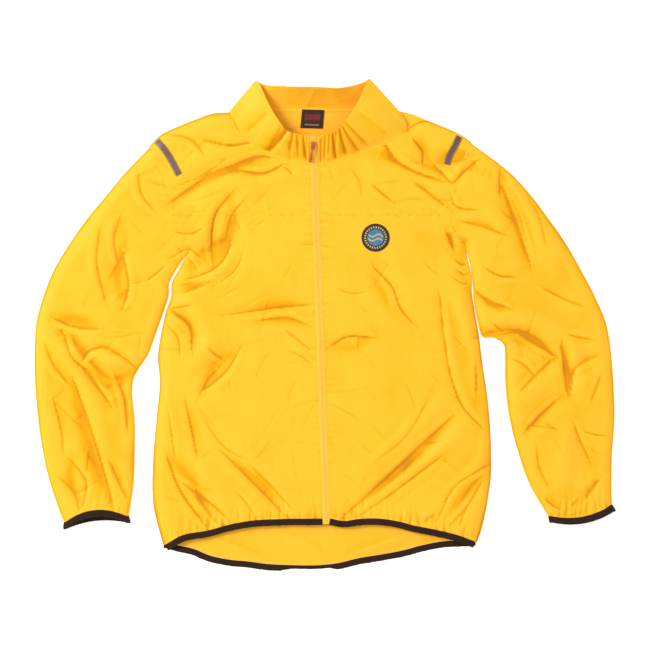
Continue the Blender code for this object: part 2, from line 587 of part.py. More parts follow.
def collar_nets():
    """Nets of the collar: its face on the neck's side, and the same moved out through its wall."""
    table = np.array([rib[1:] for rib in COLLAR], float)
    ribs = curve_at(table, np.linspace(0, 1, COLLAR_STATIONS + 1))
    v = np.linspace(0, 1, COLLAR_ROWS + 1)[:, None, None]
    on_front = 1 - smoothstep(ribs[:, 1], *NECK_TURN)
    ribs[:, 2] += on_front * (top_height(ribs[:, 0], ribs[:, 1]) - 0.85 * COLLAR_WALL - ribs[:, 2])
    low, high = ribs[None, :, :3], ribs[None, :, 3:6]
    outer = low + v * (high - low)
    steps = np.linalg.norm(np.diff(ribs[:, 3:6], axis=0), axis=1)
    run = np.concatenate([[0], np.cumsum(steps)])
    from_end = np.minimum(run, run[-1] - run)
    pleat = PLEAT_DEPTH * np.sin(2 * math.pi * from_end / PLEAT_PITCH)
    pleat *= smoothstep(from_end, 0, 6) * (1 - smoothstep(from_end, PLEAT_REACH / 2, PLEAT_REACH))
    outer[..., 2] += ribs[None, :, 6] * 4 * (v * (1 - v))[..., 0] + pleat[None] * smoothstep(v[..., 0], 0, 0.8)
    along = np.gradient(outer, axis=1)
    up = np.gradient(outer, axis=0)
    normal = np.cross(along, up)
    normal /= np.linalg.norm(normal, axis=2)[..., None]
    return outer, outer - normal * COLLAR_WALL


def make_collar(cloth):
    outer, inner = collar_nets()
    return walled("collar", outer, inner, cloth)


def zip_route():
    """The zip's line up the front and up the slope of the collar, as (x, y, z)."""
    y = np.concatenate([np.linspace(ZIP_FOOT[1] - BINDING_WIDTH, ZIP_TOP[1] - 4, 30), [ZIP_TOP[1] + 1]])
    x = np.array([zip_x(value) for value in y])
    z = top_height(x, y)
    end = (np.array(COLLAR[0][4:7]) + np.array(COLLAR[-1][4:7])) / 2
    start = np.array([x[-1], y[-1], z[-1]])
    slope = np.linspace(start, end, 6)[1:]
    return np.vstack([np.column_stack([x, y, z]), slope])


def make_zip_tape(name, side, look):
    """Half of the zip: its flat tape and the half coil at the middle."""
    route = zip_route()
    offsets = np.array([ZIP_HALF - SEAM / 2, 2.0, 1.6, SEAM / 2]) * side
    rises = np.array([-0.3, -0.3, 0.9, 1.1])
    outer = route[None] + np.dstack([
        np.repeat(offsets[:, None], len(route), 1),
        np.zeros((4, len(route))),
        np.repeat(rises[:, None], len(route), 1),
    ])
    inner = outer.copy()
    inner[..., 2] = route[None, :, 2] - WALL
    return walled(name, outer, inner, look)


def slider_frame():
    """The slider's place: x across the zip, y up the collar's slope, z away from the cloth."""
    route = zip_route()
    slope = (route[-1] - route[-6]) / np.linalg.norm(route[-1] - route[-6])
    share = (SLIDER_Y - route[-6][1]) / (route[-1][1] - route[-6][1])
    origin = route[-6] + share * (route[-1] - route[-6])
    up = Vector(slope)
    out = Vector((1, 0, 0)).cross(up).normalized()
    across = up.cross(out)
    turn = Matrix((across, up, out)).transposed().to_4x4()
    coil_top = 1.1 + SEAM
    place = Matrix.Translation(Vector(origin) * MM) @ turn @ Matrix.Translation((0, 0, coil_top * MM))
    return place @ Matrix.Rotation(SLIDER_YAW, 4, "Z")


def rounded_box(bm, size, centre, bevel):
    made = bmesh.ops.create_cube(bm, size=1)
    bmesh.ops.scale(bm, verts=made["verts"], vec=Vector(size) * MM)
    bmesh.ops.translate(bm, verts=made["verts"], vec=Vector(centre) * MM)
    edges = {edge for vert in made["verts"] for edge in vert.link_edges}
    bmesh.ops.bevel(bm, geom=list(edges), offset=bevel * MM, segments=2, profile=0.5, affect="EDGES", material=-1)


def make_slider(metal):
    """The slider's body with the bridge that holds the pull tab."""
    bm = bmesh.new()
    rounded_box(bm, (SLIDER_WIDTH, SLIDER_LENGTH, SLIDER_THICK), (0, 0, SLIDER_THICK / 2), 0.6)
    body = placed("zip_slider", bm, metal)
    body.matrix_world = slider_frame()
    wire = bpy.data.curves.new("bridge", "CURVE")
    wire.dimensions = "3D"
    wire.bevel_depth = BRIDGE_WIRE * MM
    wire.bevel_resolution = 2
    wire.use_fill_caps = True
    arch = wire.splines.new("POLY")
    foot = SLIDER_THICK - 1.0
    points = [(0, -BRIDGE_HALF, foot)]
    for step in range(9):
        angle = math.pi * step / 8
        points.append((0, -BRIDGE_HALF * math.cos(angle), SLIDER_THICK + 1.4 + (BRIDGE_RISE - 1.4) * math.sin(angle)))
    points.append((0, BRIDGE_HALF, foot))
    arch.points.add(len(points) - 1)
    for point, place in zip(arch.points, points):
        point.co = (*(Vector(place) * MM), 1)
    guide = bpy.data.objects.new("bridge", wire)
    bpy.context.scene.collection.objects.link(guide)
    bpy.context.view_layer.update()
    solid = bpy.data.meshes.new_from_object(guide.evaluated_get(bpy.context.evaluated_depsgraph_get()))
    bpy.data.objects.remove(guide)
    weld = bmesh.new()
    weld.from_mesh(solid)
    bmesh.ops.remove_doubles(weld, verts=weld.verts, dist=1e-7)
    weld.to_mesh(solid)
    weld.free()
    bridge = bpy.data.objects.new("bridge", solid)
    bpy.context.scene.collection.objects.link(bridge)
    bridge.hide_render = True
    bridge.display_type = "WIRE"
    bridge.parent = body
    join = body.modifiers.new("bridge", "BOOLEAN")
    join.operation = "UNION"
    join.object = bridge
    return body


def make_pull(metal):
    """The pull tab, a flat tapered plate with a window round the bridge, hinged on its top bar."""
    outline = bpy.data.curves.new("zip_pull", "CURVE")
    outline.dimensions = "2D"
    outline.fill_mode = "BOTH"
    outline.extrude = (PULL_THICK / 2 - 0.2) * MM
    outline.bevel_depth = 0.2 * MM
    outline.bevel_resolution = 0
    rounding = PULL_WIDTH / 2
    points = [(PULL_TOP_WIDTH / 2, 1.0), (-PULL_TOP_WIDTH / 2, 1.0), (-PULL_TOP_WIDTH / 2, -PULL_WINDOW_FAR)]
    for step in range(9):
        angle = math.pi * step / 8
        points.append((-rounding * math.cos(angle), -(PULL_LENGTH - rounding) - rounding * math.sin(angle)))
    points.append((PULL_TOP_WIDTH / 2, -PULL_WINDOW_FAR))
    window = [(x, -y) for y in (PULL_WINDOW_NEAR, PULL_WINDOW_FAR) for x in (-PULL_WINDOW_HALF, PULL_WINDOW_HALF)]
    window = [window[0], window[1], window[3], window[2]]
    for loop in (points, window):
        spline = outline.splines.new("POLY")
        spline.use_cyclic_u = True
        spline.points.add(len(loop) - 1)
        for point, (x, y) in zip(spline.points, loop):
            point.co = (x * MM, y * MM, 0, 1)
    guide = bpy.data.objects.new("pull outline", outline)
    bpy.context.scene.collection.objects.link(guide)
    bpy.context.view_layer.update()
    mesh = bpy.data.meshes.new_from_object(guide.evaluated_get(bpy.context.evaluated_depsgraph_get()))
    bpy.data.objects.remove(guide)
    bm = bmesh.new()
    bm.from_mesh(mesh)
    bmesh.ops.remove_doubles(bm, verts=bm.verts, dist=1e-7)
    bmesh.ops.recalc_face_normals(bm, faces=bm.faces)
    pull = placed("zip_pull", bm, metal)
    rise = Matrix.Translation((0, 0, (SLIDER_THICK + HINGE_RISE) * MM))
    pull.matrix_world = slider_frame() @ rise @ Matrix.Rotation(PULL_DROP, 4, "X")
    return pull


def on_cloth(name, plan, thick, carriers, look):
    """A piece that lies on the cloth: its plan laid on what is under it, a seam's gap above."""
    graph = bpy.context.evaluated_depsgraph_get()
    trees = [BVHTree.FromObject(carrier, graph) for carrier in carriers]
    z = np.zeros(plan.shape[:2])
    for place in np.ndindex(z.shape):
        hits = []
        for reach_x, reach_y in ((0, 0), (LAY_REACH, 0), (-LAY_REACH, 0), (0, LAY_REACH), (0, -LAY_REACH)):
            above = Vector(((plan[place][0] + reach_x) * MM, (plan[place][1] + reach_y) * MM, 1.0))
            hits += [tree.ray_cast(above, Vector((0, 0, -1)))[0] for tree in trees]
        z[place] = max([hit.z / MM for hit in hits if hit] or [EDGE]) + SEAM
    inner = np.dstack([plan[..., 0], plan[..., 1], z])
    outer = inner + [0, 0, thick]
    return walled(name, outer, inner, look)


def make_strip(name, line, carrier, look):
    path = sampled(line, 8)
    run = np.gradient(path, axis=0)
    side = np.column_stack([-run[:, 1], run[:, 0]]) / np.linalg.norm(run, axis=1)[:, None]
    offsets = np.linspace(-STRIP_WIDTH / 2, STRIP_WIDTH / 2, 3)[:, None, None]
    return on_cloth(name, path[None] + offsets * side[None], STRIP_THICK, [carrier], look)


def make_patch(carrier, look):
    """The round chest patch, as a square net eased out to a circle."""
    u, v = np.meshgrid(np.linspace(-1, 1, 9), np.linspace(1, -1, 9))
    x = u * np.sqrt(1 - v**2 / 2) * PATCH_DIAMETER / 2 + PATCH_CENTRE[0]
    y = v * np.sqrt(1 - u**2 / 2) * PATCH_DIAMETER / 2 + PATCH_CENTRE[1]
    return on_cloth("chest_patch", np.dstack([x, y]), PATCH_THICK, [carrier], look)


def make_label(carrier, look):
    a, b, c, d = (np.array(corner, float) for corner in LABEL_CORNERS)
    top, bottom = np.linspace(a, b, 4), np.linspace(d, c, 4)
    left, right = np.linspace(a, d, 4), np.linspace(b, c, 4)
    return on_cloth("neck_label", pattern_piece(top, bottom, left, right), LABEL_THICK, [carrier], look)


def main():
    clear_scene()
    jacket = bpy.data.collections.new("rain_jacket")
    bpy.context.scene.collection.children.link(jacket)
    cloth = material("yellow shell cloth", (1.0, 0.60, 0.05), 0.55)
    binding = material("dark elastic binding", (0.024, 0.011, 0.006), 0.8)
    film = material("grey reflective film", (0.13, 0.09, 0.07), 0.4)
    tape = material("yellow zip tape", (1.0, 0.62, 0.08), 0.7)
    enamel = material("orange enamelled metal", (0.85, 0.33, 0.05), 0.35)
    thread = material("blue and cream patch", (0.06, 0.24, 0.48), 0.75)
    woven = material("dark woven label", (0.03, 0.008, 0.006), 0.7)

    back = make_back(cloth)
    make_front("front_right", ARMHOLE_RIGHT, SIDE_RIGHT, HEM_RIGHT, -1, cloth)
    front_left = make_front("front_left", ARMHOLE_LEFT, SIDE_LEFT, HEM_LEFT, 1, cloth)
    yoke_right = make_yoke("yoke_right", ARMHOLE_RIGHT, SHOULDER_RIGHT, NECK_RIGHT, -1, cloth)
    yoke_left = make_yoke("yoke_left", ARMHOLE_LEFT, SHOULDER_LEFT, NECK_LEFT, 1, cloth)
    make_sleeve("sleeve_right", SLEEVE_RIGHT, ARMHOLE_RIGHT, cloth)
    make_sleeve("sleeve_left", SLEEVE_LEFT, ARMHOLE_LEFT, cloth)
    make_cuff("cuff_binding_right", SLEEVE_RIGHT, ARMHOLE_RIGHT, binding)
    make_cuff("cuff_binding_left", SLEEVE_LEFT, ARMHOLE_LEFT, binding)
    make_hem_binding("hem_binding_right", HEM_RIGHT, FRONT_COLUMNS, top_height, binding)
    make_hem_binding("hem_binding_left", HEM_LEFT, FRONT_COLUMNS, top_height, binding)
    make_hem_binding("hem_binding_back", HEM_BACK, HEM_BACK_COLUMNS, back_binding_height, binding)
    make_collar(cloth)
    make_zip_tape("zip_tape_right", -1, tape)
    make_zip_tape("zip_tape_left", 1, tape)
    make_slider(enamel)
    make_pull(enamel)
    make_strip("reflective_strip_right", STRIP_RIGHT, yoke_right, film)
    make_strip("reflective_strip_left", STRIP_LEFT, yoke_left, film)
    make_patch(front_left, thread)
    make_label(back, woven)


if __name__ == "__main__":
    main()
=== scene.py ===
"""The looks of a motorcycle rain jacket that lies flat on its back with the zip closed.

Fine cloth shells, creases, gathers, bindings, zip, stitching, patch and label are laid over the jacket's fixed
solids. Tables and helper functions are in millimetres; meshes are in metres. +X is the wearer's left, +Y the
collar and +Z up from the surface that the jacket lies on.
"""

import math
from collections import namedtuple

import bmesh
import bpy
import numpy as np
from mathutils import Matrix, Vector, noise


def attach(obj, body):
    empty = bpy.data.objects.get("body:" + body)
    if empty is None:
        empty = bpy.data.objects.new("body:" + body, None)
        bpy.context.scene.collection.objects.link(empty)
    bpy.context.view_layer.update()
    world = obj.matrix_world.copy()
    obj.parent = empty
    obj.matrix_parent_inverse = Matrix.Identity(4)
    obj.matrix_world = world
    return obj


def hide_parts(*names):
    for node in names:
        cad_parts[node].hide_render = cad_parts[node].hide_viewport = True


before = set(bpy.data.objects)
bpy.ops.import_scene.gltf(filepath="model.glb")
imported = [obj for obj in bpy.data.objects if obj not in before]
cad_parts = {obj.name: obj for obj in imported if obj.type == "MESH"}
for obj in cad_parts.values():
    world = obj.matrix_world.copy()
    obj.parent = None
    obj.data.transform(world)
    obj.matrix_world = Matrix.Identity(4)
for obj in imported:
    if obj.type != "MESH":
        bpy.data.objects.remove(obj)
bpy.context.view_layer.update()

bl_info = {
    "name": "Rain Jacket Finish",
    "version": (1, 0, 0),
    "blender": (4, 5, 0),
    "location": "3D View > Sidebar > Jacket",
    "description": "Cloth, creases, bindings, zip and trim of a rain jacket laid flat",
    "category": "Object",
}

MM = 0.001
EDGE = 2.7  # height of a turned edge: two layers of cloth and their seam
LOFT = 8.0  # top of the front where it lies loosely on the back
ROLL = 18  # width over which an edge rises to the loft
HEM_LIFT = 3.0  # how far the bound front hem stands off the back
HEM_LIFT_START, HEM_LIFT_END = -262, -300
BACK_TOP = 1.2
FRONT_THICK, BACK_THICK, COLLAR_THICK = 0.8, 1.15, 1.4
TAPE_THICK, STRIP_THICK, PATCH_THICK, LABEL_THICK = 0.6, 0.9, 1.2, 0.7

# Lengths of edges, which set how many steps of the fine cloth they take.
YOKE_ARMHOLE, FRONT_ARMHOLE, BACK_ARMHOLE = 118, 62, 180
SIDE_LENGTH, FRONT_WIDTH, YOKE_HALF = 486, 262, 150
BACK_SHOULDER, BACK_NECK = 140, 270
SLEEVE_LENGTH, SLEEVE_HALF = 600, 75
CUFF_ROWS = 11
CURL_ROWS, CURL_TURN = 4, math.radians(125)  # a cut edge curls over and down

CHEST_SEAM_Y = 178
ZIP_TOP = (-17, 260)
ZIP_FOOT = (3, -309)
ZIP_HALF = 6.3  # from the zip's middle to the edge of each front
SLEEVE_BEND_END = 0.2  # share of the sleeve over which the armhole's curve fades
ARMHOLE_CLEARANCE = 1.1  # height of the sleeve's under layer at the armhole
COLLAR_STAND = 1.36  # the collar's middle above the seam's cloth

CAMERA_HEIGHT = 3.0
PHOTO_WIDTH = 1.0478  # width of the view on the floor
KEY_LIGHT, KEY_POWER = (-2.7, 1.3, 2.9), 132
FILL_LIGHT, FILL_POWER = (2.2, -2.0, 3.0), 26
ROOM_LIGHT = 0.72
FLOOR_GLOW = 0.4

Fold = namedtuple("Fold", "x0 y0 x1 y1 bulge width height")
Crease = namedtuple("Crease", "points width depth lean")
Pleat = namedtuple("Pleat", "place slant width depth low high")
Section = namedtuple("Section", "outer_x outer_y inner_x inner_y bow_top bow_under")
Rib = namedtuple("Rib", "seam_x seam_y seam_z edge_x edge_y edge_z puff")
CREASE_BOTTOM = 0.35  # how round the bottom of a sharp crease is
COLLAR_LENGTH = 458  # along its top edge
COLLAR_SKIRT = [(7.0, -1.4), (5.2, -0.9), (3.4, -0.6), (1.7, -0.15)]  # reach beyond the seam, rise over the cloth
FINE_CREASE_COUNT = 240


def rows_of(kind, rows):
    return [kind(*row) for row in rows]


# Outlines, from the viewer's side. Each armhole has a point on the chest seam.
ARMHOLE_RIGHT = [(-281, 289), (-273, 264), (-262, 236), (-250, 202), (-241, CHEST_SEAM_Y), (-229, 148), (-219, 119)]
ARMHOLE_LEFT = [(236, 295), (226, 263), (214, 226), (207, 196), (205, CHEST_SEAM_Y), (209, 154), (224, 134)]
SIDE_RIGHT = [
    (-219, 119), (-232, 94), (-245, 68), (-246, 48), (-254, 24), (-260, -2), (-267, -50), (-264, -90),
    (-268, -135), (-275, -219), (-275, -277), (-268, -312), (-257, -352),
]
SIDE_LEFT = [
    (224, 134), (231, 100), (236, 80), (236, 55), (240, 26), (248, -19), (251, -45), (262, -123), (267, -200),
    (266, -250), (257, -297), (249, -330), (243, -347),
]
HEM_RIGHT = [(-257, -352), (-231, -337), (-186, -328), (-149, -318), (-112, -312), (-72, -310), (-3.3, -309)]
HEM_LEFT = [
    (243, -347), (218, -337), (178, -327), (147, -321), (115, -313), (85, -309), (54, -310), (30, -313), (9.3, -309),
]
HEM_BACK = [
    (-257, -347), (-236, -353), (-210, -359), (-186, -369), (-154, -376), (-123, -379), (-93, -383), (-51, -385),
    (-9, -385), (20, -382), (54, -374), (96, -367), (127, -361), (157, -353), (188, -347), (218, -345), (243, -344),
]
SHOULDER_RIGHT = [(-281, 289), (-268, 303), (-231, 322), (-206, 332), (-180, 341), (-152, 343)]
SHOULDER_LEFT = [(236, 295), (225, 303), (185, 322), (160, 330), (134, 317)]
SHOULDER_BACK_LEFT = [(236, 295), (225, 303), (185, 323), (164, 332), (139, 342), (115, 347)]
NECK_RIGHT = [(-152, 343), (-137, 312), (-101, 282), (-59, 266), (-23, 260)]
NECK_LEFT = [(134, 317), (115, 303), (73, 284), (25, 267), (-11, 260)]
NECK_BACK = [(-152, 343), (-101, 354), (-56, 355), (17, 355), (70, 354), (115, 347)]

SLEEVE_RIGHT = rows_of(Section, [
    (-281, 289, -219, 119, 0, 0), (-323, 245, -237, 93, 0, 0), (-355, 206, -250, 69, 0, 0),
    (-386, 168, -251, 49, 0, 0), (-413, 129, -260, 21, 0, 0), (-436, 90, -272, -13, 0, 0),
    (-452, 50, -284, -45, 0, 0), (-464, 5, -300, -70, 0, 0), (-467, -45, -308, -86, 0, 0),
    (-466, -95, -310, -110, 0, 0), (-462, -142, -306, -150, 0, 0), (-454, -200, -306, -205, 0, 0),
    (-441, -256, -308, -256, 4, 2), (-418, -316, -317, -306, 15, 8),
])
SLEEVE_LEFT = rows_of(Section, [
    (236, 295, 224, 134, 0, 0), (301, 245, 234, 99, 0, 0), (336, 206, 238.5, 72, 0, 0), (364, 168, 240.5, 40, 0, 0),
    (391, 129, 247, 8, 0, 0), (413, 90, 254, -17, 0, 0), (436, 46, 272, -19, 0, 0), (453, 6, 288, -29, 0, 0),
    (461, -40, 291, -52, 0, 0), (465, -90, 291, -84, 0, 0), (467, -150, 297, -142, 0, 0),
    (463, -205, 311, -200, 0, 0), (462, -250, 332, -258, 4, 2), (462, -288, 362, -306, 10, 5),
])

# The collar from the zip's right edge, round the back of the neck, to its left edge.
COLLAR = rows_of(Rib, [
    (-23.5, 261.5, 7.2, -24.8, 304, 33, 0), (-42, 266, 7.4, -41, 306, 33, 2), (-59, 269, 7.4, -56, 310, 32, 3),
    (-99, 285, 7.0, -75, 331, 28, 5), (-133, 313, 5.8, -92, 361, 24, 4), (-147, 334, 5.4, -104, 387, 19, 1),
    (-151, 346, 4.8, -110, 393, 15, 0), (-138, 350, 4.0, -103, 390, 11.5, -1), (-101, 351.5, 3.0, -85, 385, 19, -2),
    (-56, 352.0, 3.0, -49, 382, 28, -3), (-14, 352.0, 3.0, -12, 381, 31, -3), (25, 352.0, 3.0, 22, 380, 28, -3),
    (70, 351.5, 3.0, 50, 386, 19, -2), (104, 348, 3.8, 65, 393, 12, 1), (124, 339, 4.2, 71, 396, 15.5, 3),
    (132, 322, 5.4, 67, 388, 20, 3), (114, 305.5, 6.6, 55, 362, 26, 5), (73, 287, 7.2, 37, 333, 29, 5),
    (25, 270, 7.4, 21, 312, 32, 3), (7, 265, 7.4, 6, 305, 33, 2), (-10.5, 261.5, 7.2, -12.2, 303, 33, 0),
])
# The largest folds. A fold runs from one end to the other and bulges to its left. Troughs are negative.
FOLDS = rows_of(Fold, [
    (-244, 203, -95, 272, 12, 14, -7.5), (-235, 240, -120, 295, 8, 20, 6), (-205, 296, -112, 296, -8, 15, -4),
    (-136, 250, -66, 261, -5, 11, -4), (-152, 213, -181, 104, 16, 12, -8), (-195, 205, -206, 125, 10, 16, 8),
    (-148, 135, -220, 75, -16, 14, -8.5), (-246, 110, -201, 108, -12, 9, -4.5), (-246, 50, -190, 66, 4, 12, -5.5),
    (-250, 26, -214, -42, 14, 14, -5.5), (-215, 30, -190, -40, 8, 16, 4.5), (-139, -40, -196, -104, -10, 14, -8),
    (-170, -20, -215, -75, -8, 16, 6), (-156, 16, -22, 34, 5, 17, -5.5), (-102, 8, -25, 0, 6, 12, -4),
    (-226, -118, -203, -218, 3, 18, -4), (-252, -212, -186, -324, 14, 12, -6),
    (-236, -190, -158, -300, 12, 13, 5.5), (-165, -203, -64, -302, 6, 12, -5.5), (-140, -200, -45, -290, 6, 13, 4),
    (62, 284, 190, 236, 6, 15, -6.5), (150, 300, 160, 256, 8, 13, -4.5), (126, 290, 142, 258, 0, 17, 5),
    (178, 248, 246, 262, 20, 15, -8), (180, 214, 262, 226, 12, 16, 6), (144, 231, 194, 192, 4, 10, -4),
    (196, 154, 209, 118, 0, 10, -5.5), (222, 136, 238, 48, -6, 10, -6), (78, 96, 142, 3, -12, 13, -4.5),
    (110, 110, 176, 20, -10, 16, 4), (186, 48, 252, -162, 14, 17, -7), (214, 40, 240, -100, 8, 16, 6),
    (8, -34, 80, -16, -8, 14, -5.5), (204, -146, 30, -305, 8, 13, -7), (190, -120, 62, -232, 4, 16, 5.5),
    (186, -212, 56, -306, 6, 11, -6), (215, -170, 60, -296, 6, 11, 5.5), (264, -224, 182, -310, 8, 11, -6),
    (258, -200, 190, -270, 8, 11, 5.5), (-329, 178, -334, 100, 7, 13, -4.5), (-325, 122, -321, 32, -8, 12, -6),
    (-360, 190, -392, 60, 14, 26, 5.5), (-362, 158, -354, 40, 10, 12, -4), (-436, 12, -360, -6, 6, 13, -5.5),
    (-420, -14, -345, -124, 14, 13, -9.5), (-392, -60, -300, -68, -26, 12, -8),
    (-385, -34, -318, -52, -14, 14, 8.5), (-440, -20, -385, -118, 14, 16, 6), (-402, -92, -338, -294, -8, 13, -7),
    (-338, -78, -317, -170, 5, 13, -5.5), (-375, -100, -335, -250, -6, 15, 6),
    (-408, -214, -387, -292, -10, 10, -5.5), (-346, -216, -316, -282, 2, 9, -4.5), (280, 250, 330, 100, 4, 15, -7),
    (300, 225, 372, 90, 10, 24, 6), (262, 210, 290, 110, 4, 20, 4.5), (228, 164, 288, 146, 6, 12, -4),
    (242, 56, 294, 30, -6, 12, -5.5), (244, -17, 368, -48, 18, 13, -9.5), (262, 8, 392, -22, 16, 16, 8.5),
    (378, -30, 388, -106, 4, 11, -6), (398, -20, 408, -110, 6, 12, 6), (440, -48, 397, -104, -10, 12, -5.5),
    (364, -54, 312, -106, -5, 12, -5.5), (372, -118, 322, -170, -4, 13, -5.5), (350, -90, 300, -130, -4, 14, 5.5),
    (402, -156, 427, -216, 4, 12, -4.5), (392, -140, 372, -270, 4, 18, 5.5), (420, -282, 443, -246, 2, 9, -4.5),
    (350, -270, 378, -298, 2, 9, -4.5),
])
# The inside of the dropped tail, which rises off the surface in low ridges.
TAIL_FOLDS = rows_of(Fold, [
    (-172, -334, -92, -372, -4, 9, 3.0), (146, -326, 40, -364, 5, 10, 3.5), (-40, -340, 30, -348, -4, 16, 1.5),
])

BOTH_SLEEVES = (("right", SLEEVE_RIGHT, ARMHOLE_RIGHT), ("left", SLEEVE_LEFT, ARMHOLE_LEFT))

STRIP_RIGHT = [(-270, 298), (-256, 282), (-245, 264), (-234, 243)]
STRIP_LEFT = [(217, 305), (209, 288), (201, 273), (197, 260)]
STRIP_WIDTH = 11
PATCH_CENTRE = (82, 142)
LABEL_CORNERS = [(-36, 349), (0, 348), (-3, 318), (-39, 319)]
SLIDER_Y = 290
SLIDER_YAW = math.radians(-12)
SLIDER_THICK = 2.6
BRIDGE_HALF, BRIDGE_RISE, BRIDGE_WIRE = 3.6, 3.9, 0.7
COIL_TOP = 1.4
HINGE_RISE = 1.7
PULL_DROP = math.radians(5.5)
BINDING_THICK = 2.6
BINDING_CROWN = 0.5
SEAM = 0.3  # gap between a cloth edge and its binding
PATCH_FIELD, PATCH_RING, PATCH_RIM = 0.0132, 0.0166, 0.0196  # radii on the chest patch, in metres
WAVE_HEIGHT, WAVE_LEVEL, WAVE_HALF = 0.0019, 0.0034, 0.0012

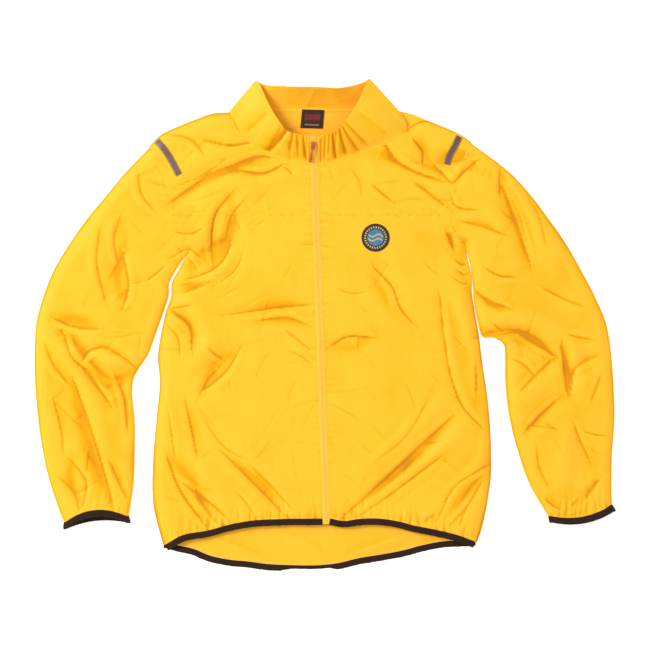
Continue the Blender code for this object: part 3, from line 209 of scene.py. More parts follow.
# Creases by place: points along the crease, width of one side, depth, and how much its left side stands higher.
CREASES = rows_of(Crease, [
    # right shoulder, yoke and chest
    ([(-256, 308), (-217, 300), (-191, 272)], 3.5, 1.8, 0.3),
    ([(-246, 201), (-217, 222), (-177, 248), (-152, 255), (-101, 274), (-83, 271)], 4.5, 3.2, -0.4),
    ([(-193, 298), (-152, 290), (-104, 298)], 4, 1.6, 0.2), ([(-136, 251), (-96, 247), (-67, 260)], 3.5, 2.2, -0.3),
    ([(-67, 256), (-58, 250), (-51, 242)], 3, 1.4, 0.2), ([(-228, 228), (-190, 246), (-160, 268)], 5, 1.2, 0.2),
    ([(-152, 213), (-175, 181), (-181, 155), (-181, 106)], 4.5, 3.0, 0.4),
    ([(-128, 205), (-150, 178), (-158, 150)], 6, 1.2, 0.2),
    ([(-151, 131), (-160, 110), (-181, 90), (-217, 76)], 4.5, 3.4, -0.4),
    ([(-130, 120), (-142, 92), (-168, 70)], 6, 1.4, -0.2), ([(-244, 111), (-217, 123), (-201, 110)], 3, 2.2, 0.2),
    ([(-238, 128), (-222, 112), (-206, 92)], 3, 1.6, -0.2), ([(-236, 150), (-214, 148), (-196, 156)], 3, 1.2, 0.2),
    ([(-222, 55), (-208, 60), (-193, 66)], 3, 1.6, 0.2), ([(-246, 29), (-230, 31), (-214, 34)], 3, 1.4, -0.2),
    ([(-249, 26), (-217, -3), (-214, -39)], 4, 2.6, 0.3), ([(-256, 4), (-236, -18), (-232, -48)], 3.5, 1.4, -0.2),
    # right belly and hem
    ([(-139, -44), (-156, -71), (-194, -103)], 4.5, 3.2, -0.4),
    ([(-176, -72), (-190, -92), (-202, -112)], 6, 2.4, 0.3),
    ([(-188, -35), (-176, -46), (-164, -55)], 3.5, 1.4, 0.2), ([(-152, 18), (-80, 29), (-23, 34)], 5, 1.9, 0.3),
    ([(-101, 10), (-56, 13), (-27, 2)], 4, 1.6, -0.3), ([(-64, -6), (-44, -22), (-23, -39)], 3, 1.2, 0.2),
    ([(-58, -40), (-38, -48), (-20, -62)], 3, 0.9, -0.2), ([(-225, -119), (-214, -168), (-204, -216)], 5, 1.5, 0.3),
    ([(-252, -135), (-246, -172), (-241, -208)], 3.5, 1.2, -0.2),
    ([(-252, -216), (-236, -258), (-188, -326)], 4, 2.3, 0.3),
    ([(-230, -251), (-165, -300), (-149, -316)], 4, 1.8, -0.3),
    ([(-165, -203), (-120, -248), (-65, -303)], 4.5, 2.0, 0.3),
    ([(-117, -226), (-88, -255), (-49, -297)], 4, 1.6, -0.2),
    ([(-196, -150), (-160, -196), (-110, -222)], 6, 1.1, 0.2),
    ([(-208, -262), (-196, -288), (-172, -318)], 3, 1.2, 0.2),
    ([(-140, -268), (-124, -286), (-112, -306)], 3, 1.1, -0.2),
    # right sleeve
    ([(-330, 174), (-339, 139), (-334, 103)], 4, 1.8, 0.3),
    ([(-325, 119), (-317, 82), (-315, 61), (-322, 34)], 4, 2.3, -0.3),
    ([(-362, 155), (-367, 106), (-354, 42)], 4.5, 1.8, 0.3), ([(-285, 73), (-270, 84), (-256, 97)], 3, 1.4, 0.2),
    ([(-246, 63), (-262, 16), (-281, -31)], 4, 1.4, 0.3), ([(-300, 246), (-296, 214), (-276, 186)], 5, 1.4, 0.2),
    ([(-433, 10), (-402, -2), (-362, -6)], 4, 2.2, 0.3),
    ([(-418, -16), (-405, -52), (-381, -73), (-365, -97), (-346, -123)], 4.5, 3.6, -0.4),
    ([(-391, -58), (-375, -39), (-355, -35), (-333, -45), (-301, -69)], 4.5, 3.4, 0.4),
    ([(-452, -24), (-438, -60), (-414, -92)], 4, 1.6, 0.3),
    ([(-401, -93), (-386, -135), (-367, -192), (-355, -232), (-339, -292)], 4.5, 2.5, -0.3),
    ([(-338, -79), (-322, -119), (-318, -168)], 4, 1.9, 0.3),
    ([(-346, -219), (-333, -248), (-317, -280)], 3, 1.6, 0.2),
    ([(-407, -216), (-383, -251), (-388, -289)], 3.5, 2.0, -0.3),
    ([(-430, -240), (-402, -272), (-394, -297)], 3.5, 1.8, 0.3),
    ([(-436, -120), (-424, -168), (-420, -208)], 5, 1.3, 0.2),
    # left shoulder and yoke
    ([(20, 313), (26, 302), (28, 290)], 3, 0.8, 0.2),
    ([(65, 284), (98, 292), (110, 272), (143, 250), (186, 235)], 4.5, 3.0, -0.4),
    ([(144, 298), (157, 279), (157, 263)], 4, 2.2, 0.4),
    ([(186, 251), (207, 231), (223, 247), (243, 266)], 5, 3.8, -0.4),
    ([(206, 262), (220, 268), (230, 288)], 4, 1.6, 0.2), ([(146, 229), (167, 213), (193, 193)], 3.5, 1.6, 0.3),
    ([(77, 226), (92, 213), (107, 200)], 4, 1.3, 0.2), ([(44, 252), (56, 232), (60, 206)], 6, 0.9, 0.2),
    ([(202, 216), (210, 195), (246, 187)], 3.5, 1.9, -0.3),
    # left sleeve
    ([(281, 253), (281, 232), (281, 211)], 4, 1.6, 0.3), ([(286, 226), (307, 172), (330, 103)], 5, 2.2, -0.3),
    ([(226, 166), (251, 161), (286, 147)], 4, 1.9, 0.3), ([(324, 214), (346, 170), (356, 126)], 6, 1.4, 0.3),
    ([(243, 56), (267, 40), (293, 31)], 4, 2.2, -0.3), ([(258, 92), (282, 80), (306, 78)], 4, 1.3, 0.2),
    ([(246, -19), (276, -15), (310, -10), (336, -24), (367, -47)], 4.5, 3.8, 0.4),
    ([(391, -13), (410, -18), (430, -21)], 4, 1.8, -0.3), ([(352, 60), (392, 40), (420, 30)], 6, 1.2, 0.2),
    ([(380, -31), (386, -66), (389, -105)], 4, 2.6, 0.4), ([(439, -48), (402, -71), (397, -103)], 4, 2.4, -0.3),
    ([(364, -55), (331, -87), (314, -105)], 4, 2.3, 0.3), ([(444, -79), (436, -100), (428, -119)], 3.5, 1.5, 0.2),
    ([(300, -52), (318, -60), (342, -84)], 3.5, 1.6, -0.2), ([(372, -119), (347, -143), (323, -168)], 4, 2.2, 0.3),
    ([(402, -158), (412, -184), (426, -214)], 4, 1.8, -0.3),
    ([(420, -171), (440, -176), (460, -177)], 3.5, 1.2, 0.2),
    ([(352, -277), (364, -287), (376, -295)], 3, 1.6, 0.2), ([(396, -289), (402, -283), (407, -277)], 3, 1.2, -0.2),
    ([(420, -277), (432, -262), (442, -248)], 3.5, 1.8, 0.3),
    ([(340, -196), (346, -232), (362, -262)], 4.5, 1.5, 0.3),
    # left chest, belly and hem
    ([(196, 150), (202, 137), (207, 123)], 3.5, 2.2, 0.3), ([(225, 132), (233, 97), (236, 50)], 3.5, 1.6, -0.3),
    ([(209, 106), (222, 98), (236, 104)], 2.5, 1.6, 0.2), ([(212, 92), (224, 84), (236, 88)], 2.5, 1.4, -0.2),
    ([(206, 78), (218, 70), (232, 66)], 2.5, 1.2, 0.2), ([(80, 93), (110, 60), (123, 26), (141, 5)], 5, 1.9, 0.3),
    ([(186, 47), (193, -21), (207, -92), (223, -131), (252, -161)], 5, 3.0, -0.4),
    ([(243, -58), (244, -84), (243, -108)], 3.5, 1.6, 0.3), ([(10, -31), (33, -18), (77, -18)], 4, 2.2, -0.3),
    ([(22, 60), (44, 52), (70, 56)], 4, 0.9, 0.2),
    ([(202, -148), (149, -198), (93, -251), (33, -303)], 4.5, 2.8, 0.4),
    ([(183, -214), (117, -264), (57, -305)], 4.5, 2.5, -0.3), ([(167, -118), (127, -181), (77, -221)], 6, 1.4, 0.3),
    ([(264, -224), (210, -258), (183, -308)], 4, 2.3, -0.3),
    ([(252, -251), (223, -298), (199, -322)], 3.5, 1.8, 0.3),
    ([(178, -301), (168, -308), (160, -314)], 3, 1.4, 0.2), ([(231, -289), (222, -308), (215, -329)], 3, 1.4, -0.2),
    ([(140, -210), (106, -240), (78, -262)], 3.5, 1.4, 0.2),
])
# Low folds that lift the back off the surface, seen from below and inside the tail.
UNDER_CREASES = rows_of(Crease, [
    ([(-170, 300), (-120, 250), (-90, 180)], 7, 1.0, 0), ([(150, 290), (120, 230), (110, 170)], 7, 0.9, 0),
    ([(-240, 120), (-180, 60), (-150, -10)], 7, 1.0, 0), ([(230, 110), (180, 40), (160, -40)], 7, 1.0, 0),
    ([(-60, 140), (-20, 110), (40, 120)], 8, 0.8, 0), ([(-250, -60), (-190, -110), (-140, -190)], 7, 1.0, 0),
    ([(250, -80), (200, -150), (150, -220)], 7, 1.0, 0), ([(-100, -60), (-60, -140), (-50, -220)], 8, 0.8, 0),
    ([(60, -30), (90, -110), (70, -190)], 8, 0.8, 0), ([(-370, 130), (-340, 60), (-330, 0)], 7, 0.9, 0),
    ([(-430, -30), (-380, -60), (-330, -70)], 6, 1.0, 0), ([(-400, -130), (-370, -190), (-360, -250)], 6, 0.9, 0),
    ([(330, 150), (340, 80), (330, 20)], 7, 0.9, 0), ([(300, -40), (350, -60), (430, -50)], 6, 1.0, 0),
    ([(400, -110), (390, -180), (410, -240)], 6, 0.9, 0),
])
TAIL_CREASES = rows_of(Crease, [
    ([(-177, -339), (-120, -361), (-88, -380)], 4, 1.6, 0.3), ([(141, -329), (77, -351), (33, -368)], 4, 1.8, -0.3),
    ([(-60, -330), (-20, -352), (10, -378)], 5, 0.9, 0.2), ([(190, -335), (160, -342), (128, -352)], 3.5, 1.0, 0.2),
])
# Creases of the collar: place along its top edge from the zip's right side, how far the foot shifts, width of a
# side, depth, and the part of the height that it takes.
PLEATS = rows_of(Pleat, [
    (3, 2, 1.6, 1.4, 0.1, 0.9), (9, -5, 1.8, 2.8, 0.15, 1.0), (14, 3, 1.5, 1.5, 0.5, 1.0),
    (19, -4, 1.6, 2.2, 0.1, 0.9), (25, 4, 1.8, 2.6, 0.35, 1.0), (31, -3, 1.6, 1.4, -0.1, 0.6),
    (36, 17, 2.6, 4.6, -0.1, 1.05), (48, 6, 2.6, 1.2, 0.3, 0.9), (78, 10, 4.5, 1.3, 0.1, 0.8),
    (150, -6, 6.0, 1.0, 0.1, 1.0), (188, 8, 7.0, 0.8, 0.2, 1.0), (232, -10, 6.0, 1.1, 0.1, 0.9),
    (262, 9, 6.0, 0.8, 0.3, 1.0), (380, -12, 4.0, 1.2, 0.1, 0.8), (404, -8, 2.6, 2.0, 0.1, 1.0),
    (412, -6, 2.0, 2.2, 0.0, 1.0), (419, -3, 1.8, 3.0, 0.1, 1.0), (426, 4, 1.6, 1.8, 0.3, 1.0),
    (432, -4, 1.8, 2.8, 0.0, 0.95), (438, 3, 1.5, 1.8, 0.3, 1.0), (444, 3, 1.6, 2.4, 0.1, 1.0),
    (451, 2, 1.5, 2.0, 0.0, 0.8),
])


# Curves, distances and heights


def smoothstep(value, start, end):
    t = np.clip((value - start) / (end - start), 0, 1)
    return t * t * (3 - 2 * t)


def curve_at(points, t):
    """Points at fractions t of a smooth curve through the given points, by Catmull-Rom on chord lengths."""
    points = np.asarray(points, float)
    steps = np.linalg.norm(np.diff(points, axis=0), axis=1)
    knots = np.concatenate([[0], np.cumsum(steps)]) / steps.sum()
    slopes = np.gradient(points, knots, axis=0)
    t = np.clip(np.asarray(t, float), 0, 1)
    i = np.clip(np.searchsorted(knots, t, side="right") - 1, 0, len(points) - 2)
    span = knots[i + 1] - knots[i]
    u = ((t - knots[i]) / span)[:, None]
    span = span[:, None]
    return (
        (2 * u**3 - 3 * u**2 + 1) * points[i]
        + (u**3 - 2 * u**2 + u) * span * slopes[i]
        + (3 * u**2 - 2 * u**3) * points[i + 1]
        + (u**3 - u**2) * span * slopes[i + 1]
    )


def sampled(points, count):
    return curve_at(points, np.linspace(0, 1, count + 1))


def signed_distance(path, x, y):
    """(distance, positive on the path's left, and place from 0 to 1) of points to a polyline."""
    path = np.asarray(path, float)
    steps = np.linalg.norm(np.diff(path, axis=0), axis=1)
    places = np.concatenate([[0], np.cumsum(steps)]) / steps.sum()
    nearest, along, side = np.full(x.shape, 1e9), np.zeros(x.shape), np.ones(x.shape)
    for a, b, start, end in zip(path[:-1], path[1:], places[:-1], places[1:]):
        run = b - a
        t = np.clip(((x - a[0]) * run[0] + (y - a[1]) * run[1]) / (run @ run), 0, 1)
        gap = np.hypot(x - a[0] - t * run[0], y - a[1] - t * run[1])
        closer = gap < nearest
        nearest = np.where(closer, gap, nearest)
        along = np.where(closer, start + t * (end - start), along)
        side = np.where(closer, np.sign(run[0] * (y - a[1]) - run[1] * (x - a[0])), side)
    return nearest * side, along


def near(path, x, y, reach):
    """Indices of the points inside the path's box, grown by the reach."""
    low, high = path.min(axis=0) - reach, path.max(axis=0) + reach
    return np.flatnonzero((x > low[0]) & (x < high[0]) & (y > low[1]) & (y < high[1]))


def fold_path(fold):
    start, end = np.array([fold.x0, fold.y0]), np.array([fold.x1, fold.y1])
    run = end - start
    side = np.array([-run[1], run[0]]) / np.linalg.norm(run)
    t = np.linspace(0, 1, 9)[:, None]
    return start + t * run + side * fold.bulge * 4 * t * (1 - t)


def fold_relief(folds, x, y):
    """Height that the broad folds add."""
    total = np.zeros(x.shape)
    for fold in folds:
        path = fold_path(fold)
        at = near(path, x, y, 3 * fold.width)
        if not len(at):
            continue
        gap, along = signed_distance(path, x[at], y[at])
        fade = np.sin(math.pi * np.clip(0.08 + 0.84 * along, 0, 1)) ** 0.7
        total[at] += fold.height * fade * np.exp(-((gap / fold.width) ** 2))
    return total


def crease_profile(gap, width, lean):
    """A crisp trough: steep on one side, with a low crest, and a long even slope on the side that it leans to."""
    distance = np.sqrt(gap**2 + CREASE_BOTTOM**2) - CREASE_BOTTOM
    wide = gap * (1 if lean >= 0 else -1) > 0
    slope = -np.exp(-distance / (2.3 * width))
    steep = -np.exp(-distance / (0.42 * width)) + 0.2 * np.exp(-(((distance - 1.9 * width) / width) ** 2))
    return np.where(wide, slope, steep)


def crease_relief(creases, x, y):
    """Height that the sharp creases add, fading at both ends of each."""
    total = np.zeros(x.shape)
    for crease in creases:
        path = sampled(crease.points, 12)
        at = near(path, x, y, 6 * crease.width)
        if not len(at):
            continue
        gap, along = signed_distance(path, x[at], y[at])
        fade = np.sin(math.pi * np.clip(0.03 + 0.94 * along, 0, 1)) ** 0.6
        total[at] += crease.depth * fade * crease_profile(gap, crease.width * (0.6 + 0.4 * fade), crease.lean)
    return total


def scattered_creases():
    """Short shallow creases all over the cloth, in a fixed scatter; those on the sleeves run mostly across."""
    chance = np.random.default_rng(11)
    made = []
    for _ in range(FINE_CREASE_COUNT):
        x, y = chance.uniform(-455, 455), chance.uniform(-300, 330)
        turn = chance.normal(math.radians(-52 if x > 0 else 48), 0.75)
        half = chance.uniform(10, 34)
        run, side = np.array([math.cos(turn), math.sin(turn)]), np.array([-math.sin(turn), math.cos(turn)])
        bow = chance.normal(0, 0.08) * half
        centre = np.array([x, y])
        points = [centre - half * run, centre + bow * side, centre + half * run]
        made.append(Crease(points, chance.uniform(3.5, 8.0), chance.uniform(0.2, 0.75), chance.choice([-1, 1])))
    return made


FINE_CREASES = scattered_creases()


def ripple(x, y, size_x, size_y, seed):
    """Smooth noise from about -1 to 1 whose bumps have the given sizes."""
    return np.array([noise.noise((a / size_x, b / size_y, seed)) for a, b in zip(x, y)])


def outline_distance(lines, x, y):
    gap = np.full(x.shape, 1e9)
    for line in lines:
        gap = np.minimum(gap, np.abs(signed_distance(line, x, y)[0]))
    return gap


def rolled_edges():
    """The silhouette lines where the front turns down onto the back."""
    edges = [SHOULDER_RIGHT, SHOULDER_LEFT, SIDE_RIGHT, SIDE_LEFT]
    for sections in (SLEEVE_RIGHT, SLEEVE_LEFT):
        edges.append([(s.outer_x, s.outer_y) for s in sections])
        edges.append([(s.inner_x, s.inner_y) for s in sections])
    return [sampled(edge, 3 * len(edge)) for edge in edges]


def cuff_line(sections):
    last = sections[-1]
    return np.array([(last.outer_x, last.outer_y), (last.inner_x, last.inner_y)], float)


def seam_lines():
    """Sewn lines on the upper side: chest, armholes and the two sides of the zip."""
    chest_right, chest_left = zip_x(CHEST_SEAM_Y) - ZIP_HALF, zip_x(CHEST_SEAM_Y) + ZIP_HALF
    return [
        np.array([(-241, CHEST_SEAM_Y), (chest_right, CHEST_SEAM_Y)], float),
        np.array([(205, CHEST_SEAM_Y), (chest_left, CHEST_SEAM_Y)], float),
        sampled(ARMHOLE_RIGHT, 20),
        sampled(ARMHOLE_LEFT, 20),
    ]


def zip_x(y):
    share = (y - ZIP_FOOT[1]) / (ZIP_TOP[1] - ZIP_FOOT[1])
    return ZIP_FOOT[0] + share * (ZIP_TOP[0] - ZIP_FOOT[0])


def gathers(x, y, amount):
    """Small wrinkles that stand square to the elastic hem and cuffs, the zip and the seams."""
    hem = outline_distance([sampled(HEM_RIGHT, 20), sampled(HEM_LEFT, 20)], x, y)
    cuffs = outline_distance([cuff_line(SLEEVE_RIGHT), cuff_line(SLEEVE_LEFT)], x, y)
    seams = outline_distance(seam_lines(), x, y)
    zip_side = np.where(y < ZIP_TOP[1], np.abs(x - zip_x(y)) - ZIP_HALF, 1e9)
    upright = ripple(x, y, 9, 34, 3.1) + 0.6 * ripple(x, y, 5, 20, 8.7)
    level = ripple(x, y, 26, 7.5, 5.3)
    fine = ripple(x, y, 9, 9, 1.9)
    total = 2.2 * np.exp(-hem / 16) * upright + 2.2 * np.exp(-cuffs / 18) * upright
    total += 0.9 * np.exp(-np.maximum(zip_side, 0) / 11) * level + 0.8 * np.exp(-seams / 9) * fine
    groove = 0.2 * np.exp(-((seams / 1.6) ** 2))
    return amount * total - groove


def surface_parts(x, y):
    """(height, painted shade) of the front's upper side: the height, and painted shade that grows with how deep in a
    trough each point lies.
    """
    shape = x.shape
    x, y = x.ravel(), y.ravel()
    sizes = bpy.context.scene.rain_jacket_sizes
    rise = 1 - (1 - np.clip(outline_distance(rolled_edges(), x, y) / ROLL, 0, 1)) ** 2
    foot = EDGE + HEM_LIFT * smoothstep(-y, -HEM_LIFT_START, -HEM_LIFT_END)
    broad = fold_relief(FOLDS, x, y)
    broad = np.where(broad < 0, 0.45 * broad, 0.6 * broad)
    sharp = sizes.crease_strength * (1.3 * crease_relief(CREASES, x, y) + crease_relief(FINE_CREASES, x, y))
    loose = 1.1 * ripple(x, y, 62, 78, 4.4) + 0.3 * ripple(x, y, 26, 32, 7.2)
    small = gathers(x, y, sizes.gather_strength) + loose
    height = foot + (LOFT - EDGE) * rise + (broad + sharp + small) * (0.12 + 0.88 * rise)
    height = foot + np.logaddexp(0, 1.6 * (height - foot)) / 1.6 - np.log(2) / 1.6 * (1 - rise)
    # Painted shade: darker in the troughs of the broad folds, in soft noise patches, towards the outer sides and
    # sleeves, and towards the yoke.
    slack_shade_patches = np.clip(ripple(x, y, 75, 58, 12.3), 0, 0.6) + np.clip(ripple(x, y, 30, 44, 6.6), 0, 0.3)
    tone = np.clip(-broad / 7, 0, 0.4) + 0.3 * slack_shade_patches
    tone = tone + 0.14 * smoothstep(np.abs(x), 220, 300) + 0.06 * smoothstep(y, 60, 220)
    return height.reshape(shape), tone.reshape(shape)


def box_blurred(values, reach):
    """A grid of values averaged over a square neighbourhood."""
    weights = np.ones(2 * reach + 1) / (2 * reach + 1)
    for axis in (0, 1):
        padding = [(reach, reach) if k == axis else (0, 0) for k in (0, 1)]
        padded = np.pad(values, padding, mode="edge")
        values = np.apply_along_axis(lambda row: np.convolve(row, weights, mode="valid"), axis, padded)
    return values


def with_cavity_shade(height, painted_shade):
    """Painted shade: the given shade together with more painted shade where a point lies below the cloth round it."""
    line, near_by, wide = (box_blurred(height, reach) - height for reach in (1, 2, 6))
    return np.clip(painted_shade + line / 0.36 + near_by / 2.0 + wide / 5.0, 0, 1)


def surface(x, y):
    return surface_parts(np.asarray(x, float), np.asarray(y, float))[0]


def back_parts(x, y):
    """(height, painted shade in the tail's creases) of the back's upper side."""
    shape = x.shape
    x, y = x.ravel(), y.ravel()
    tail = smoothstep(-y, 300, 335) * smoothstep(380 + y, 0, 14)
    creased = crease_relief(TAIL_CREASES, x, y)
    lift = np.maximum(fold_relief(TAIL_FOLDS, x, y) + creased + 0.5 * ripple(x, y, 9, 30, 6.1), 0)
    under = np.maximum(-crease_relief(UNDER_CREASES, x, y), 0)
    neck = smoothstep(y, 290, 320) * np.maximum(0.8 * ripple(x, y, 30, 14, 9.2), 0)
    # Painted shade in the troughs of the tail's creases.
    painted_shade = np.clip(-creased / 3, 0, 1)
    return (BACK_TOP + lift * tail + under * (1 - tail) + neck).reshape(shape), painted_shade.reshape(shape)


# Nets of points


def pattern_piece(top, bottom, left, right):
    """A flat pattern between its four edges, which share their corners, as rows of points."""
    u = np.linspace(0, 1, len(top))[None, :, None]
    v = np.linspace(0, 1, len(left))[:, None, None]
    top, bottom = np.asarray(top)[None], np.asarray(bottom)[None]
    left, right = np.asarray(left)[:, None], np.asarray(right)[:, None]
    corners = (1 - u) * (1 - v) * top[:, :1] + u * (1 - v) * top[:, -1:]
    corners = corners + (1 - u) * v * bottom[:, :1] + u * v * bottom[:, -1:]
    return (1 - v) * top + v * bottom + (1 - u) * left + u * right - corners


def armhole_split(armhole):
    """The armhole's fraction at which the chest seam meets it."""
    seam = next(k for k, point in enumerate(armhole) if point[1] == CHEST_SEAM_Y)
    steps = np.linalg.norm(np.diff(np.asarray(armhole, float), axis=0), axis=1)
    return steps[:seam].sum() / steps.sum()


def level_with(edge, x_of, top_y, bottom_y):
    """Points on a straight edge whose heights are spaced as those of another edge are."""
    share = (edge[0, 1] - edge[:, 1]) / (edge[0, 1] - edge[-1, 1])
    y = top_y + share * (bottom_y - top_y)
    return np.column_stack([[x_of(value) for value in y], y])


def turned_down(net, radius):
    """The net with rows added before its first, which curl over outwards and down."""
    out = net[0] - net[1]
    out[:, 2] = 0
    out /= np.linalg.norm(out, axis=1)[:, None]
    curl = []
    for angle in np.linspace(CURL_TURN, 0, CURL_ROWS + 1)[:-1]:
        row = net[0] + out * (radius * math.sin(angle))[:, None]
        row[:, 2] -= radius * (1 - math.cos(angle))
        curl.append(row)
    return np.concatenate([np.array(curl), net])


def laid(plan):
    """(net, painted shade) of a flat pattern laid as the front's upper side."""
    z, painted_shade = surface_parts(plan[..., 0], plan[..., 1])
    return np.dstack([plan, z]), with_cavity_shade(z, painted_shade)


def front_net(armhole, side, hem, zip_side, step):
    split = armhole_split(armhole)
    chest = curve_at(armhole, np.linspace(split, 1, round(FRONT_ARMHOLE / step) + 1))
    outline = np.vstack([chest, sampled(side, round(SIDE_LENGTH / step))[1:]])
    columns = round(FRONT_WIDTH / step)
    bottom = sampled(hem, columns)
    zip_edge = level_with(outline, lambda y: zip_x(y) + zip_side * ZIP_HALF, CHEST_SEAM_Y, ZIP_FOOT[1])
    zip_edge[-1] = bottom[-1]
    top = np.linspace(outline[0], zip_edge[0], columns + 1)
    net, painted_shade = laid(pattern_piece(top, bottom, outline, zip_edge))
    radius = np.where(np.arange(len(outline)) < len(chest), 0.3, net[:, 0, 2] / 2)
    curled = turned_down(net.transpose(1, 0, 2), radius).transpose(1, 0, 2)
    return curled, np.pad(painted_shade, ((0, 0), (CURL_ROWS, 0)), mode="edge")


def yoke_net(armhole, shoulder, neck, zip_side, step):
    outline = curve_at(armhole, np.linspace(0, armhole_split(armhole), round(YOKE_ARMHOLE / step) + 1))
    half = round(YOKE_HALF / step)
    top = np.vstack([sampled(shoulder, half), sampled(neck, half)[1:]])
    zip_edge = level_with(outline, lambda y: zip_x(y) + zip_side * ZIP_HALF, top[-1][1], CHEST_SEAM_Y)
    zip_edge[0] = top[-1]
    bottom = np.linspace(outline[-1], zip_edge[-1], 2 * half + 1)
    net, painted_shade = laid(pattern_piece(top, bottom, outline, zip_edge))
    radius = np.minimum(net[0, :, 2] / 2, 1.6)
    return turned_down(net, radius), np.pad(painted_shade, ((CURL_ROWS, 0), (0, 0)), mode="edge")


def back_net(step):
    edges = []
    for armhole, side, end in ((ARMHOLE_RIGHT, SIDE_RIGHT, HEM_BACK[0]), (ARMHOLE_LEFT, SIDE_LEFT, HEM_BACK[-1])):
        seam = sampled([*side[:-1], end], round(SIDE_LENGTH / step))[1:]
        edges.append(np.vstack([sampled(armhole, round(BACK_ARMHOLE / step)), seam]))
    shoulder, neck = round(BACK_SHOULDER / step), round(BACK_NECK / step)
    top = np.vstack([
        sampled(SHOULDER_RIGHT, shoulder),
        sampled(NECK_BACK, neck)[1:],
        sampled(SHOULDER_BACK_LEFT[::-1], shoulder)[1:],
    ])
    bottom = sampled(HEM_BACK, len(top) - 1)
    plan = pattern_piece(top, bottom, *edges)
    z, painted_shade = back_parts(plan[..., 0], plan[..., 1])
    return np.dstack([plan, z]), painted_shade


def sleeve_row(section, shares, bend, bow):
    """A row of points across a flattened sleeve, from its outer edge to its inner one."""
    outer, inner = np.array(section[:2]), np.array(section[2:4])
    run = inner - outer
    up = np.array([-run[1], run[0]]) / np.linalg.norm(run)
    s = shares[:, None]
    return outer + s * run + up * bow * 4 * s * (1 - s) + bend


def sleeve_rows(sections, armhole, lengthways, across):
    """The sleeve's rows of points, upper layer and under layer, from armhole to cuff."""
    shares = np.linspace(0, 1, across + 1)
    seam = curve_at(armhole, shares)
    stations = curve_at(np.array(sections, float), np.linspace(0, 1, lengthways + 1))
    first = seam - sleeve_row(stations[0], shares, 0, 0)
    top, under = [], []
    for j, station in enumerate(stations):
        bend = first * (1 - smoothstep(j / lengthways, 0, SLEEVE_BEND_END))
        top.append(sleeve_row(station, shares, bend, station[4]))
        under.append(sleeve_row(station, shares, bend, station[5])[::2])
    return top, under


def drawn_in(rows, amount):
    """Rows whose two ends are moved inwards, which leaves room for the rounded edges."""
    moved = []
    for row in rows:
        run = row[-1] - row[0]
        s = np.linspace(0, 1, len(row))[:, None]
        moved.append(row + run / np.linalg.norm(run) * amount * (1 - 2 * s))
    return moved


def tube_net(top, under, lift, low):
    """(net, painted shade) of a flattened tube: upper layer, rounded inner edge, under layer, rounded outer edge."""
    rings, painted_shades = [], []
    plan = np.array(top)
    heights, trough_shades = surface_parts(plan[..., 0], plan[..., 1])
    whole_sleeve = len(plan) > CUFF_ROWS
    if whole_sleeve:
        trough_shades = with_cavity_shade(heights, trough_shades)
    floors = np.array(under)
    lows = low + np.maximum(-crease_relief(UNDER_CREASES, floors[..., 0].ravel(), floors[..., 1].ravel()), 0)
    lows = lows.reshape(floors.shape[:2])
    feet = np.full(len(plan), float(low))
    if whole_sleeve:
        feet += ARMHOLE_CLEARANCE * (1 - smoothstep(np.arange(len(plan)) / len(plan), 0, 0.35))
        lows += (feet - low)[:, None]
    angles = np.radians([30, 60, 90, 120, 150])[:, None]
    heights = heights + np.reshape(lift, (-1, 1))
    for row, z, trough_shade, floor, rest, foot in zip(plan, heights, trough_shades, floors, lows, feet):
        across = np.append((row[-1] - row[0]) / np.linalg.norm(row[-1] - row[0]), 0)
        ends = []
        for corner, height, way in ((row[-1], z[-1], 1), (row[0], z[0], -1)):
            radius = (height - foot) / 2
            centre = np.array([*corner, foot + radius])
            ends.append(centre + radius * (way * across * np.sin(angles) + np.array([0, 0, 1]) * np.cos(angles)))
        upper = np.column_stack([row, z])
        lower = np.column_stack([floor, rest])
        rings.append(np.vstack([upper, ends[0], lower[::-1], ends[1][::-1], upper[:1]]))
        # Painted shade of the troughs on the upper layer; none on the rounded edges and the under layer.
        shade = np.zeros(len(rings[-1]))
        shade[: len(trough_shade)] = trough_shade
        shade[-1] = trough_shade[0]
        painted_shades.append(shade)
    return np.array(rings), np.array(painted_shades)


